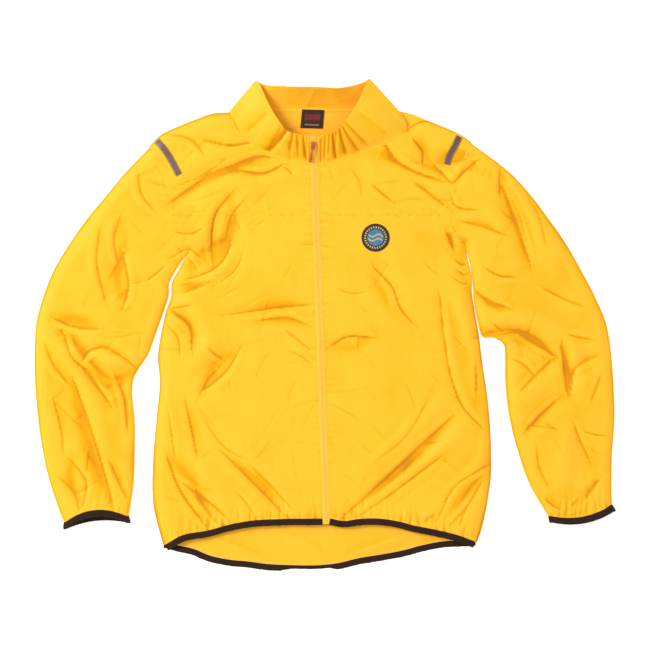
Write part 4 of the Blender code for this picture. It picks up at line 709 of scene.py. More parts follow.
def collar_net(stations, rows):
    """(net, painted shade) of the collar, with a hem below the neck seam that covers the join."""
    ribs = curve_at(np.array(COLLAR, float), np.linspace(0, 1, stations + 1))
    on_front = 1 - smoothstep(ribs[:, 1], 308, 334)
    seam_z = surface(ribs[:, 0], ribs[:, 1])
    ribs[:, 2] += on_front * (seam_z - COLLAR_STAND - ribs[:, 2])
    v = np.linspace(0, 1, rows + 1)[:, None, None]
    low, high = ribs[None, :, :3], ribs[None, :, 3:6]
    net = low + v * (high - low)
    net[..., 2] += ribs[None, :, 6] * 4 * (v * (1 - v))[..., 0]
    steps = np.linalg.norm(np.diff(ribs[:, 3:6], axis=0), axis=1)
    run = np.concatenate([[0], np.cumsum(steps)])
    run *= COLLAR_LENGTH / run[-1]
    normal = np.cross(np.gradient(net, axis=1), np.gradient(net, axis=0))
    normal /= np.linalg.norm(normal, axis=2)[..., None]
    height = v[..., 0]
    relief = np.zeros(net.shape[:2])
    for pleat in PLEATS:
        gap = run[None] - pleat.place - pleat.slant * (1 - height)
        inside = smoothstep(height, pleat.low - 0.15, pleat.low + 0.1)
        inside = inside * (1 - smoothstep(height, pleat.high, pleat.high + 0.12))
        relief += pleat.depth * inside * crease_profile(gap, pleat.width, 0.25)
    ends = np.minimum(run, COLLAR_LENGTH - run)
    gathered = np.array([noise.noise((s / 6.5, 0.4, 2.2)) for s in run]) * np.exp(-ends / 34)
    uneven = np.array([noise.noise((s / 22, 3.3, 1.0)) for s in run])
    relief += 1.7 * gathered[None] * (0.35 + 0.65 * height) + 0.5 * uneven[None]
    net = net - normal * (relief + COLLAR_STAND / 2)[..., None]
    away = net[0, :, :2] - net[2, :, :2]
    away /= np.linalg.norm(away, axis=1)[:, None]
    skirt = []
    for reach, rise in COLLAR_SKIRT:
        x, y = (net[0, :, :2] + reach * away).T
        z = on_front * (surface(x, y) + rise) + (1 - on_front) * (BACK_TOP + 0.4)
        skirt.append(np.column_stack([x, y, z]))
    net[0, :, 2] += 0.5 * on_front
    # Painted shade in the pleats and wherever the collar's relief sinks; none on the hem.
    shade = np.clip(-relief / 2.0, 0, 1)
    return np.concatenate([skirt, net]), np.concatenate([np.zeros((len(skirt), stations + 1)), shade])


# Meshes and pieces


def placed(name, mesh, look, body="garment"):
    """A finished piece from a mesh in metres, riding on its body."""
    mesh.materials.append(look)
    mesh.shade_smooth()
    thing = bpy.data.objects.new(name, mesh)
    bpy.context.scene.collection.objects.link(thing)
    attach(thing, body)
    return thing


def net_mesh(name, net, painted_shade=None, joined=False):
    """A fine mesh on a net of points, with a UV map in metres and the painted shade of the troughs as an attribute."""
    rows, columns = net.shape[0] - 1, net.shape[1] - 1
    bm = bmesh.new()
    bmesh.ops.create_grid(bm, x_segments=columns, y_segments=rows, size=1)
    mesh = bpy.data.meshes.new(name)
    bm.to_mesh(mesh)
    bm.free()
    places = np.empty(len(mesh.vertices) * 3)
    mesh.vertices.foreach_get("co", places)
    places = places.reshape(-1, 3)
    i = np.rint((places[:, 0] + 1) / 2 * columns).astype(int)
    j = np.rint((1 - places[:, 1]) / 2 * rows).astype(int)
    mesh.vertices.foreach_set("co", (net[j, i] * MM).ravel())
    across = np.linalg.norm(np.diff(net, axis=1), axis=2).mean(axis=0)
    down = np.linalg.norm(np.diff(net, axis=0), axis=2).mean(axis=1)
    u, v = np.append(0, np.cumsum(across)), np.append(0, np.cumsum(down))
    corners = np.empty(len(mesh.loops), int)
    mesh.loops.foreach_get("vertex_index", corners)
    layout = mesh.uv_layers.new(name="cloth")
    layout.data.foreach_set("uv", (np.column_stack([u[i], v[j]]) * MM)[corners].ravel())
    # The painted shade goes on the mesh as an attribute that darkens the cloth's colour.
    depth = mesh.attributes.new("painted_shade", "FLOAT", "POINT")
    depth.data.foreach_set("value", np.zeros(len(i)) if painted_shade is None else painted_shade[j, i])
    bm = bmesh.new()
    bm.from_mesh(mesh)
    if joined:
        bmesh.ops.remove_doubles(bm, verts=bm.verts, dist=1e-6)
    for edge in bm.edges:
        edge.smooth = not edge.is_boundary
    bm.to_mesh(mesh)
    bm.free()
    mesh.update()
    centres, normals = np.empty(len(mesh.polygons) * 3), np.empty(len(mesh.polygons) * 3)
    mesh.polygons.foreach_get("center", centres)
    mesh.polygons.foreach_get("normal", normals)
    upper = centres[2::3] >= np.median(centres[2::3])
    if normals[2::3][upper].sum() < 0:
        mesh.flip_normals()
    return mesh


def thickened(thing, thickness, offset=-1):
    wall = thing.modifiers.new("wall", "SOLIDIFY")
    wall.thickness = thickness * MM
    wall.offset = offset


def cloth_piece(node, layers, thickness=FRONT_THICK, offset=-1, joined=False):
    """A shell of cloth from its (net, painted shade), in place of the node that it is named after."""
    net, painted_shade = layers
    name = f"{node}_cloth"
    piece = placed(name, net_mesh(name, net, painted_shade, joined), shell_cloth())
    thickened(piece, thickness, offset)
    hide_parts(node)


def grid_step():
    return bpy.context.scene.rain_jacket_sizes.grid_step / MM


def make_back():
    cloth_piece("back", back_net(1.9 * grid_step()), thickness=BACK_THICK)


def make_fronts():
    step = grid_step()
    for node, armhole, side, hem, way, area in (
        ("front_right", ARMHOLE_RIGHT, SIDE_RIGHT, HEM_RIGHT, -1, 0.124),
        ("front_left", ARMHOLE_LEFT, SIDE_LEFT, HEM_LEFT, 1, 0.121),
    ):
        cloth_piece(node, front_net(armhole, side, hem, way, step))
    for node, armhole, shoulder, neck, way, area in (
        ("yoke_right", ARMHOLE_RIGHT, SHOULDER_RIGHT, NECK_RIGHT, -1, 0.0303),
        ("yoke_left", ARMHOLE_LEFT, SHOULDER_LEFT, NECK_LEFT, 1, 0.027),
    ):
        cloth_piece(node, yoke_net(armhole, shoulder, neck, way, step))


def sleeve_layers(sections, armhole):
    step = grid_step()
    return sleeve_rows(sections, armhole, round(SLEEVE_LENGTH / step), 2 * round(SLEEVE_HALF / step))


def make_sleeves():
    for side, sections, armhole in BOTH_SLEEVES:
        top, under = sleeve_layers(sections, armhole)
        layers = tube_net(drawn_in(top, EDGE / 2), drawn_in(under, EDGE / 2), 0, 0)
        cloth_piece(f"sleeve_{side}", layers, joined=True)


def make_collar():
    cloth_piece("collar", collar_net(420, 30), COLLAR_THICK, 0)


def smoothed(values, reach):
    weights = np.ones(2 * reach + 1) / (2 * reach + 1)
    return np.convolve(np.pad(values, reach, mode="edge"), weights, mode="valid")


def tape_net(line, base, width, thick):
    """A folded elastic tape hung on a line of points, as rings round its section, closed at both ends."""
    run = np.gradient(line, axis=0)
    away = np.column_stack([run[:, 1], -run[:, 0]]) / np.linalg.norm(run, axis=1)[:, None]
    away *= np.sign(-away[:, 1:2])
    angles = np.linspace(math.pi, -math.pi, 21)
    out = np.sign(np.cos(angles)) * np.abs(np.cos(angles)) ** 0.7
    up = np.sign(np.sin(angles)) * np.abs(np.sin(angles)) ** 0.8
    length = np.append(0, np.cumsum(np.linalg.norm(np.diff(line, axis=0), axis=1)))
    gather = np.array([noise.noise((s / 5.5, 0.7, 3.1)) + 0.5 * noise.noise((s / 2.6, 4.2, 1.3)) for s in length])
    width = width * (1 + 0.05 * gather)
    thick = thick * (1 + 0.16 * gather)
    middle = line + away * (SEAM + width / 2)[:, None]
    plan = middle[:, None] + away[:, None] * (out[None] * width[:, None] / 2)[..., None]
    z = base[:, None] + thick[:, None] * (up[None] - 1) / 2 + BINDING_CROWN + 0.35 * gather[:, None]
    z = np.maximum(z, 0.05)
    net = np.dstack([plan, z])
    ends = [np.repeat(ring.mean(axis=0)[None], len(angles), axis=0)[None] for ring in (net[0], net[-1])]
    return np.concatenate([ends[0], net, ends[1]])


def binding_piece(name, net):
    piece = placed(f"{name}_tape", net_mesh(name, net, joined=True), elastic_binding())
    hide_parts(name)


def make_bindings():
    sizes = bpy.context.scene.rain_jacket_sizes
    width = sizes.binding_width / MM
    for name, hem, carrier in (("right", HEM_RIGHT, "front_right_cloth"), ("left", HEM_LEFT, "front_left_cloth")):
        line = sampled(hem, 180)
        base = smoothed(surface(line[:, 0], line[:, 1]), 3)
        net = tape_net(line, base, np.full(len(line), 0.94 * width), np.full(len(line), BINDING_THICK))
        binding_piece(f"hem_binding_{name}", net)
    line = sampled(HEM_BACK, 340)
    rolled = smoothstep(line[:, 0], -78, -50) * (1 - smoothstep(line[:, 0], 6, 22))
    thick = BINDING_THICK * (1 - 0.2 * rolled)
    net = tape_net(line, np.full(len(line), 2.1), 0.92 * width * (1 - 0.42 * rolled), thick)
    binding_piece("hem_binding_back", net)
    for name, sections, armhole in BOTH_SLEEVES:
        top, under = sleeve_layers(sections, armhole)
        forward = (top[-1] - top[-2]).mean(axis=0)
        forward /= np.linalg.norm(forward)
        starts = np.linspace(-0.6, width, CUFF_ROWS)
        bands = [drawn_in([rows[-1] + forward * start for start in starts], EDGE / 2) for rows in (top, under)]
        crown = 0.9 * np.sin(np.linspace(0, math.pi, CUFF_ROWS)) ** 0.5
        net = tube_net(*bands, crown, 0)[0]
        mesh = net_mesh("cuff", net, joined=True)
        piece = placed(f"cuff_binding_{name}_tape", mesh, elastic_binding())
        thickened(piece, 1.9)
        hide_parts(f"cuff_binding_{name}")


def plain_height(x, y):
    """Height of the front with its broad folds alone, where no edge is near."""
    x, y = np.atleast_1d(x).astype(float), np.atleast_1d(y).astype(float)
    foot = EDGE + HEM_LIFT * smoothstep(-y, -HEM_LIFT_START, -HEM_LIFT_END)
    return foot + np.logaddexp(0, 1.6 * (LOFT - EDGE + fold_relief(FOLDS, x, y))) / 1.6


def collar_slope():
    """The zip's straight run up the collar: its start and end."""
    y = ZIP_TOP[1] + 1
    start = np.array([zip_x(y), y, plain_height(zip_x(y), y)[0]])
    return start, (np.array(COLLAR[0][3:6]) + np.array(COLLAR[-1][3:6])) / 2


def slider_place():
    """The slider's frame: x across the zip, y up the collar's slope, z away from the cloth."""
    start, end = collar_slope()
    origin = start + (SLIDER_Y - start[1]) / (end[1] - start[1]) * (end - start)
    up = Vector((end - start) / np.linalg.norm(end - start))
    out = Vector((1, 0, 0)).cross(up).normalized()
    turn = Matrix((up.cross(out), up, out)).transposed().to_4x4()
    place = Matrix.Translation(Vector(origin) * MM) @ turn @ Matrix.Translation((0, 0, COIL_TOP * MM))
    return place @ Matrix.Rotation(SLIDER_YAW, 4, "Z")


def zip_net(side, offsets, rises, pitch):
    """Rows across the zip, from its foot up the front and up the collar's slope."""
    low = np.arange(ZIP_FOOT[1] - 9, ZIP_TOP[1] - 3, pitch)
    start, end = collar_slope()
    share = np.linspace(0, 1, round(54 / pitch))[:, None]
    slope = start + share * (end - start)
    rows = []
    for offset, rise in zip(offsets, rises):
        x = np.array([zip_x(y) for y in low]) + side * offset
        z = smoothed(surface(x, low), 1) + rise
        front = np.column_stack([x, low, z])
        rows.append(np.vstack([front, slope + [side * offset, 0, rise]]))
    return np.array(rows).transpose(1, 0, 2)


def bead_row(bm, bead, places):
    """Copies of a small bead at each place."""
    for place in places:
        bead.transform(place)
        bm.from_mesh(bead)
        bead.transform(place.inverted())


def bead_mesh(size, around, rings):
    bm = bmesh.new()
    bmesh.ops.create_uvsphere(bm, u_segments=around, v_segments=rings, radius=0.5)
    bmesh.ops.scale(bm, verts=bm.verts, vec=Vector(size) * MM)
    mesh = bpy.data.meshes.new("bead")
    bm.to_mesh(mesh)
    bm.free()
    return mesh


def aligned(point, along, lift=0.0):
    """A place at a point, its x axis along a line and its z axis up."""
    x = Vector(along).normalized()
    y = Vector((0, 0, 1)).cross(x).normalized()
    z = x.cross(y)
    turn = Matrix((x, y, z)).transposed().to_4x4()
    return Matrix.Translation((Vector(point) + z * lift) * MM) @ turn


def make_zip():
    sizes = bpy.context.scene.rain_jacket_sizes
    for name, side in (("right", -1), ("left", 1)):
        net = zip_net(side, [8.0, 6.7, 6.1, 3.6, 1.6, 0.1], [-1.2, -0.5, -0.05, 0.1, 0.2, 0.1], 2.0)
        tape = placed(f"zip_tape_{name}_cloth", net_mesh("tape", net), zip_tape())
        thickened(tape, TAPE_THICK)
        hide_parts(f"zip_tape_{name}")
    centre = zip_net(1, [0.0], [0.0], sizes.coil_pitch / MM / 2)[:, 0]
    tooth = bead_mesh((2.6, 1.2, 0.9), 8, 5)
    bm = bmesh.new()
    turned = []
    for k in range(1, len(centre) - 1):
        along = Vector(centre[k + 1] - centre[k - 1]).normalized()
        side = 1 if k % 2 else -1
        across = Vector((1, 0, 0)) - along * along.x
        turned.append(aligned(Vector(centre[k]) + across * side * 0.75, across, 0.3))
    bead_row(bm, tooth, turned)
    coil = bpy.data.meshes.new("zip_coil")
    bm.to_mesh(coil)
    bm.free()
    placed("zip_coil", coil, zip_coil())
    make_slider()
    make_pull()


def bevelled(bm, verts, width, segments=2):
    edges = list({edge for vert in verts for edge in vert.link_edges})
    bmesh.ops.bevel(bm, geom=edges, offset=width * MM, segments=segments, profile=0.5, affect="EDGES", material=-1)


def make_slider():
    """The slider's two plates, narrower at the foot, with their side flanges and the bridge."""
    bm = bmesh.new()
    for z, thick in ((SLIDER_THICK - 0.45, 0.9), (0.35, 0.7)):
        made = bmesh.ops.create_cube(bm, size=1)["verts"]
        bmesh.ops.scale(bm, verts=made, vec=Vector((8.4, 11, thick)) * MM)
        for vert in made:
            if vert.co.y < 0:
                vert.co.x *= 0.62
            vert.co.z += z * MM
        bevelled(bm, made, 0.3)
    for side in (-1, 1):
        made = bmesh.ops.create_cube(bm, size=1)["verts"]
        bmesh.ops.scale(bm, verts=made, vec=Vector((0.9, 9.4, 1.7)) * MM)
        for vert in made:
            vert.co.x += side * (3.5 if vert.co.y > 0 else 2.3) * MM
            vert.co.z += 1.3 * MM
        bevelled(bm, made, 0.25)
    made = bmesh.ops.create_cube(bm, size=1)["verts"]
    bmesh.ops.scale(bm, verts=made, vec=Vector((2.2, 3.4, 1.9)) * MM)
    bmesh.ops.translate(bm, verts=made, vec=Vector((0, 3.4, 1.2)) * MM)
    bevelled(bm, made, 0.25)
    ring = bmesh.ops.create_circle(bm, cap_ends=True, segments=12, radius=BRIDGE_WIRE * MM)["verts"]
    bmesh.ops.translate(bm, verts=ring, vec=Vector((0, -BRIDGE_HALF, 0)) * MM)
    face = next(face for face in ring[0].link_faces if len(face.verts) == 12)
    spun = bmesh.ops.spin(
        bm, geom=[face, *face.edges, *face.verts], cent=(0, 0, 0), axis=(1, 0, 0), angle=-math.pi, steps=16
    )
    arch = {v for item in spun["geom_last"] if isinstance(item, bmesh.types.BMFace) for v in item.verts}
    reached = set(arch)
    front = list(arch)
    while front:
        vert = front.pop()
        for edge in vert.link_edges:
            other = edge.other_vert(vert)
            if other not in reached:
                reached.add(other)
                front.append(other)
    for vert in reached:
        base = SLIDER_THICK + 1.4 if vert.co.z > 0.4 * MM else 1.6
        vert.co.z = vert.co.z * (BRIDGE_RISE - 1.4) / BRIDGE_HALF + base * MM
    bmesh.ops.recalc_face_normals(bm, faces=bm.faces)
    mesh = bpy.data.meshes.new("slider")
    bm.to_mesh(mesh)
    bm.free()
    mesh.transform(slider_place())
    slider = placed("zip_slider_body", mesh, enamel())
    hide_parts("zip_slider")


def make_pull():
    """The pull tab: a loop round the bridge, a slim neck and a rounded grip with a raised rim."""
    bm = bmesh.new()
    half_widths = [
        (1.0, 2.6), (0.2, 3.1), (-1.4, 3.1), (-4.6, 3.0), (-6.4, 2.2), (-8.2, 1.5), (-12, 1.5), (-17, 1.9), (-24, 2.6),
    ]
    outline = [(half, y) for y, half in half_widths]
    outline += [(2.9 * math.cos(turn), -27.4 - 3.0 * math.sin(turn)) for turn in np.linspace(0, math.pi, 11)]
    outline += [(-half, y) for y, half in reversed(half_widths)]
    hole = [(1.5, -1.0), (1.5, -5.4), (-1.5, -5.4), (-1.5, -1.0)]
    rim, window = ([bm.verts.new((x * MM, y * MM, -0.7 * MM)) for x, y in points] for points in (outline, hole))
    edges = [bm.edges.new(pair) for ring in (rim, window) for pair in zip(ring, ring[1:] + ring[:1])]
    bmesh.ops.triangle_fill(bm, use_beauty=True, edges=edges)
    bmesh.ops.dissolve_limit(bm, angle_limit=0.01, verts=bm.verts, edges=bm.edges, use_dissolve_boundaries=False)
    raised_part = bmesh.ops.extrude_face_region(bm, geom=bm.faces[:])["geom"]
    top = [item for item in raised_part if isinstance(item, bmesh.types.BMVert)]
    bmesh.ops.translate(bm, verts=top, vec=(0, 0, 1.4 * MM))
    bmesh.ops.recalc_face_normals(bm, faces=bm.faces)
    corners = [edge for edge in bm.edges if len(edge.link_faces) == 2 and edge.calc_face_angle() > 1]
    bmesh.ops.bevel(bm, geom=corners, offset=0.3 * MM, segments=2, profile=0.5, affect="EDGES", material=-1)
    made = bmesh.ops.create_uvsphere(bm, u_segments=18, v_segments=10, radius=1.5 * MM)["verts"]
    bmesh.ops.scale(bm, verts=made, vec=(1.0, 1.4, 0.32))
    bmesh.ops.translate(bm, verts=made, vec=Vector((0, -26.6, 0.6)) * MM)
    mesh = bpy.data.meshes.new("pull")
    bm.to_mesh(mesh)
    bm.free()
    hinge = Matrix.Translation((0, 0, (SLIDER_THICK + HINGE_RISE) * MM))
    mesh.transform(slider_place() @ hinge @ Matrix.Rotation(PULL_DROP, 4, "X"))
    pull = placed("zip_pull_tab", mesh, enamel(), body="zip_pull")
    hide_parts("zip_pull")


def make_strips():
    for name, line, carrier in (("right", STRIP_RIGHT, "yoke_right_cloth"), ("left", STRIP_LEFT, "yoke_left_cloth")):
        path = sampled(line, 34)
        run = np.gradient(path, axis=0)
        side = np.column_stack([-run[:, 1], run[:, 0]]) / np.linalg.norm(run, axis=1)[:, None]
        offsets = np.linspace(STRIP_WIDTH / 2, -STRIP_WIDTH / 2, 9)[:, None, None]
        plan = path[None] + offsets * side[None]
        edge = 0.5 * np.abs(np.linspace(-1, 1, 9))[:, None] ** 6
        z = surface(plan[..., 0], plan[..., 1]) + 1.3 - edge
        mesh = net_mesh("strip", np.dstack([plan, z]))
        strip = placed(f"reflective_strip_{name}_film", mesh, reflective_film())
        thickened(strip, STRIP_THICK)
        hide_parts(f"reflective_strip_{name}")


def make_patch():
    radius = bpy.context.scene.rain_jacket_sizes.patch_diameter / MM / 2
    u, v = np.meshgrid(np.linspace(-1, 1, 37), np.linspace(1, -1, 37))
    x = u * np.sqrt(1 - v**2 / 2) * radius
    y = v * np.sqrt(1 - u**2 / 2) * radius
    rim = np.hypot(x, y) / radius
    z = surface(x * 0.8 + PATCH_CENTRE[0], y * 0.8 + PATCH_CENTRE[1])
    z = 0.5 * z + 0.5 * z.mean() + 1.9 - 0.5 * rim**8
    mesh = net_mesh("patch", np.dstack([x + PATCH_CENTRE[0], y + PATCH_CENTRE[1], z]))
    patch = placed("chest_patch_badge", mesh, embroidered_patch())
    thickened(patch, PATCH_THICK)
    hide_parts("chest_patch")
    angles = np.linspace(0, 2 * math.pi, 181)
    at = np.column_stack([PATCH_CENTRE[0] + radius * np.cos(angles), PATCH_CENTRE[1] + radius * np.sin(angles)])
    low = surface(at[:, 0], at[:, 1])
    height = 0.5 * smoothed(low, 4) + 0.5 * z.mean() - 0.6
    rope = 1 + 0.16 * np.sin(angles * 58)
    section = np.linspace(0, 2 * math.pi, 11)
    tube = np.zeros((len(angles), len(section), 3))
    for k, angle in enumerate(section):
        twist = rope * (1 + 0.05 * np.sin(angle * 3))
        tube[:, k, 0] = at[:, 0] + 1.15 * twist * math.cos(angle) * np.cos(angles)
        tube[:, k, 1] = at[:, 1] + 1.15 * twist * math.cos(angle) * np.sin(angles)
        tube[:, k, 2] = height + 0.85 * twist * math.sin(angle)
    tube[-1] = tube[0]
    rope_mesh = net_mesh("edge", tube, joined=True)
    placed("chest_patch_edge", rope_mesh, thread("dark edge thread", colours().patch_edge))


def make_label():
    a, b, c, d = (np.array(corner, float) for corner in LABEL_CORNERS)
    plan = pattern_piece(np.linspace(a, b, 25), np.linspace(d, c, 25), np.linspace(a, d, 21), np.linspace(b, c, 21))
    z = back_parts(plan[..., 0], plan[..., 1])[0] + 1.4
    z = z + 0.25 * np.sin(np.linspace(0, 3 * math.pi, 25))[None]
    label = placed("neck_label_cloth", net_mesh("label", np.dstack([plan, z])), woven_label())
    thickened(label, LABEL_THICK)
    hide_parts("neck_label")


def make_trim():
    make_strips()
    make_patch()
    make_label()


def walked(path, pitch):
    """Points a pitch apart along a path in three dimensions, each with its direction."""
    path = np.asarray(path, float)
    steps = np.linalg.norm(np.diff(path, axis=0), axis=1)
    run = np.append(0, np.cumsum(steps))
    at = np.arange(pitch / 2, run[-1], pitch)
    points = np.column_stack([np.interp(at, run, path[:, k]) for k in range(path.shape[1])])
    ahead = np.column_stack([np.interp(at + 0.8, run, path[:, k]) for k in range(path.shape[1])])
    behind = np.column_stack([np.interp(at - 0.8, run, path[:, k]) for k in range(path.shape[1])])
    return points, ahead - behind


def shifted(line, distance):
    """A flat line moved sideways, to its left."""
    run = np.gradient(line, axis=0)
    return line + distance * np.column_stack([-run[:, 1], run[:, 0]]) / np.linalg.norm(run, axis=1)[:, None]


def on_surface(line):
    return np.column_stack([line, surface(line[:, 0], line[:, 1])])


def make_stitching():
    pitch = bpy.context.scene.rain_jacket_sizes.stitch_pitch / MM
    rows = []
    for seam in seam_lines()[:2]:
        line = sampled(seam, 120)
        rows.append(on_surface(shifted(line, 2.6 if line[0, 0] < 0 else -2.6)))
    for armhole, way in ((ARMHOLE_RIGHT, 1), (ARMHOLE_LEFT, -1)):
        rows.append(on_surface(shifted(sampled(armhole, 100), 2.8 * way)[2:-2]))
    for hem in (HEM_RIGHT, HEM_LEFT):
        line = sampled(hem, 140)
        rows.append(on_surface(line + [0, 2.2]))
    for side in (-1, 1):
        y = np.linspace(ZIP_FOOT[1] + 3, ZIP_TOP[1] - 6, 260)
        rows.append(on_surface(np.column_stack([zip_x(y) + side * (ZIP_HALF + 1.9), y])))
    net = collar_net(240, 26)[0]
    for row in (net[-3], net[3]):
        away = np.cross(np.gradient(net[-3], axis=0), net[-1] - net[-6])
        away /= np.linalg.norm(away, axis=1)[:, None]
        rows.append(row - away * 0.8)
    for _, sections, armhole in BOTH_SLEEVES:
        top = sleeve_layers(sections, armhole)[0]
        rows.append(on_surface(drawn_in([top[-2]], 2)[0]))
    for line in (STRIP_RIGHT, STRIP_LEFT):
        for way in (-1, 1):
            edge = shifted(sampled(line, 30), way * (STRIP_WIDTH / 2 - 1.1))
            rows.append(on_surface(edge) + [0, 0, 1.2])
    bm = bmesh.new()
    stitch = bead_mesh((0.78 * pitch, 0.62, 0.5), 6, 4)
    for row in rows:
        points, ways = walked(row, pitch)
        bead_row(bm, stitch, [aligned(point, way, 0.05) for point, way in zip(points, ways)])
    mesh = bpy.data.meshes.new("stitching")
    bm.to_mesh(mesh)
    bm.free()
    placed("stitching", mesh, thread("seam thread", colours().thread))


# Materials


def new_node(tree, kind, **settings):
    made = tree.nodes.new(kind)
    for key, value in settings.items():
        setattr(made, key, value)
    return made


def feed(tree, value, socket):
    """Link a socket, or set a plain value."""
    if isinstance(value, bpy.types.NodeSocket):
        tree.links.new(value, socket)
    else:
        socket.default_value = value


def calc(tree, operation, a, b=0.0, clamp=False):
    made = new_node(tree, "ShaderNodeMath", operation=operation, use_clamp=clamp)
    feed(tree, a, made.inputs[0])
    feed(tree, b, made.inputs[1])
    return made.outputs[0]


def times(tree, a, b, clamp=False):
    return calc(tree, "MULTIPLY", a, b, clamp)


def plus(tree, a, b, clamp=False):
    return calc(tree, "ADD", a, b, clamp)


def tint(colour, amount):
    return tuple(min(1.0, amount * part) for part in colour)


def blend(tree, share, a, b):
    made = new_node(tree, "ShaderNodeMix", data_type="RGBA")
    feed(tree, share, made.inputs[0])
    feed(tree, a if isinstance(a, bpy.types.NodeSocket) else (*a, 1), made.inputs[6])
    feed(tree, b if isinstance(b, bpy.types.NodeSocket) else (*b, 1), made.inputs[7])
    return made.outputs[2]


def blotches(tree, position, size, detail=2.0):
    """Noise from 0 to 1 whose bumps have a size in metres."""
    made = new_node(tree, "ShaderNodeTexNoise")
    made.inputs["Scale"].default_value = 1 / size
    made.inputs["Detail"].default_value = detail
    tree.links.new(position, made.inputs["Vector"])
    return made.outputs["Fac"]


def effect(name, inputs, outputs):
    """An empty node group with named sockets, and its two end nodes."""
    group = bpy.data.node_groups.new(name, "ShaderNodeTree")
    for title, kind, value in inputs:
        socket = group.interface.new_socket(title, in_out="INPUT", socket_type=kind)
        if value is not None:
            socket.default_value = value
    for title, kind in outputs:
        group.interface.new_socket(title, in_out="OUTPUT", socket_type=kind)
    return group, group.nodes.new("NodeGroupInput"), group.nodes.new("NodeGroupOutput")


def woven_threads():
    """Crossing threads at a pitch along the cloth's own two directions."""
    if "Woven Threads" in bpy.data.node_groups:
        return bpy.data.node_groups["Woven Threads"]
    group, given, result = effect(
        "Woven Threads",
        [("Layout", "NodeSocketVector", None), ("Pitch", "NodeSocketFloat", 0.0006), ("Slant", "NodeSocketFloat", 0.0)],
        [("Height", "NodeSocketFloat"), ("Gaps", "NodeSocketFloat")],
    )
    parts = new_node(group, "ShaderNodeSeparateXYZ")
    group.links.new(given.outputs["Layout"], parts.inputs[0])
    turns = calc(group, "DIVIDE", 2 * math.pi, given.outputs["Pitch"])
    slanted = plus(group, parts.outputs[0], times(group, parts.outputs[1], given.outputs["Slant"]))
    warp = calc(group, "SINE", times(group, slanted, turns))
    weft = calc(group, "SINE", times(group, parts.outputs[1], turns))
    height = plus(group, times(group, calc(group, "MAXIMUM", warp, weft), 0.5), 0.5)
    group.links.new(height, result.inputs["Height"])
    group.links.new(calc(group, "SUBTRACT", 1.0, height, clamp=True), result.inputs["Gaps"])
    return group


def crinkled_coat():
    """Fine crinkles of a thin coated cloth, and the large faint patches of handling."""
    if "Crinkled Coat" in bpy.data.node_groups:
        return bpy.data.node_groups["Crinkled Coat"]
    group, given, result = effect(
        "Crinkled Coat",
        [("Position", "NodeSocketVector", None), ("Crumple", "NodeSocketFloat", 1.0)],
        [("Height", "NodeSocketFloat"), ("Patches", "NodeSocketFloat")],
    )
    position = given.outputs["Position"]
    ridged = []
    for size, weight in ((0.034, 1.0), (0.015, 0.4), (0.006, 0.1)):
        level = calc(group, "SUBTRACT", blotches(group, position, size, 1.0), 0.5)
        ridge = times(group, calc(group, "ABSOLUTE", level), -2.4 * weight)
        ridged.append(ridge)
    height = plus(group, plus(group, ridged[0], ridged[1]), ridged[2])
    group.links.new(times(group, height, given.outputs["Crumple"]), result.inputs["Height"])
    group.links.new(blotches(group, position, 0.09, 3.0), result.inputs["Patches"])
    return group


def placed_group(tree, group, **values):
    made = new_node(tree, "ShaderNodeGroup", node_tree=group)
    for key, value in values.items():
        feed(tree, value, made.inputs[key])
    return made


def finish_of(name):
    """(material, its tree, its shader, object position, layout on the cloth) of a new finish."""
    made = bpy.data.materials.new(name)
    made.use_nodes = True
    tree = made.node_tree
    shader = tree.nodes["Principled BSDF"]
    position = new_node(tree, "ShaderNodeTexCoord").outputs["Object"]
    layout = new_node(tree, "ShaderNodeUVMap", uv_map="cloth").outputs["UV"]
    return made, tree, shader, position, layout


def raised(tree, shader, height, distance):
    bump = new_node(tree, "ShaderNodeBump")
    bump.inputs["Strength"].default_value = 1.0
    bump.inputs["Distance"].default_value = distance
    tree.links.new(height, bump.inputs["Height"])
    tree.links.new(bump.outputs["Normal"], shader.inputs["Normal"])


def dyed(tree, shader, colour):
    tree.links.new(colour, shader.inputs["Base Color"])


def dulled(tree, shader, least, mask, more):
    """Roughness from its least value, with more where the mask is."""
    tree.links.new(plus(tree, least, times(tree, mask, more)), shader.inputs["Roughness"])


def colours():
    return bpy.context.scene.rain_jacket_colours


def kept(name):
    return bpy.data.materials.get(name)


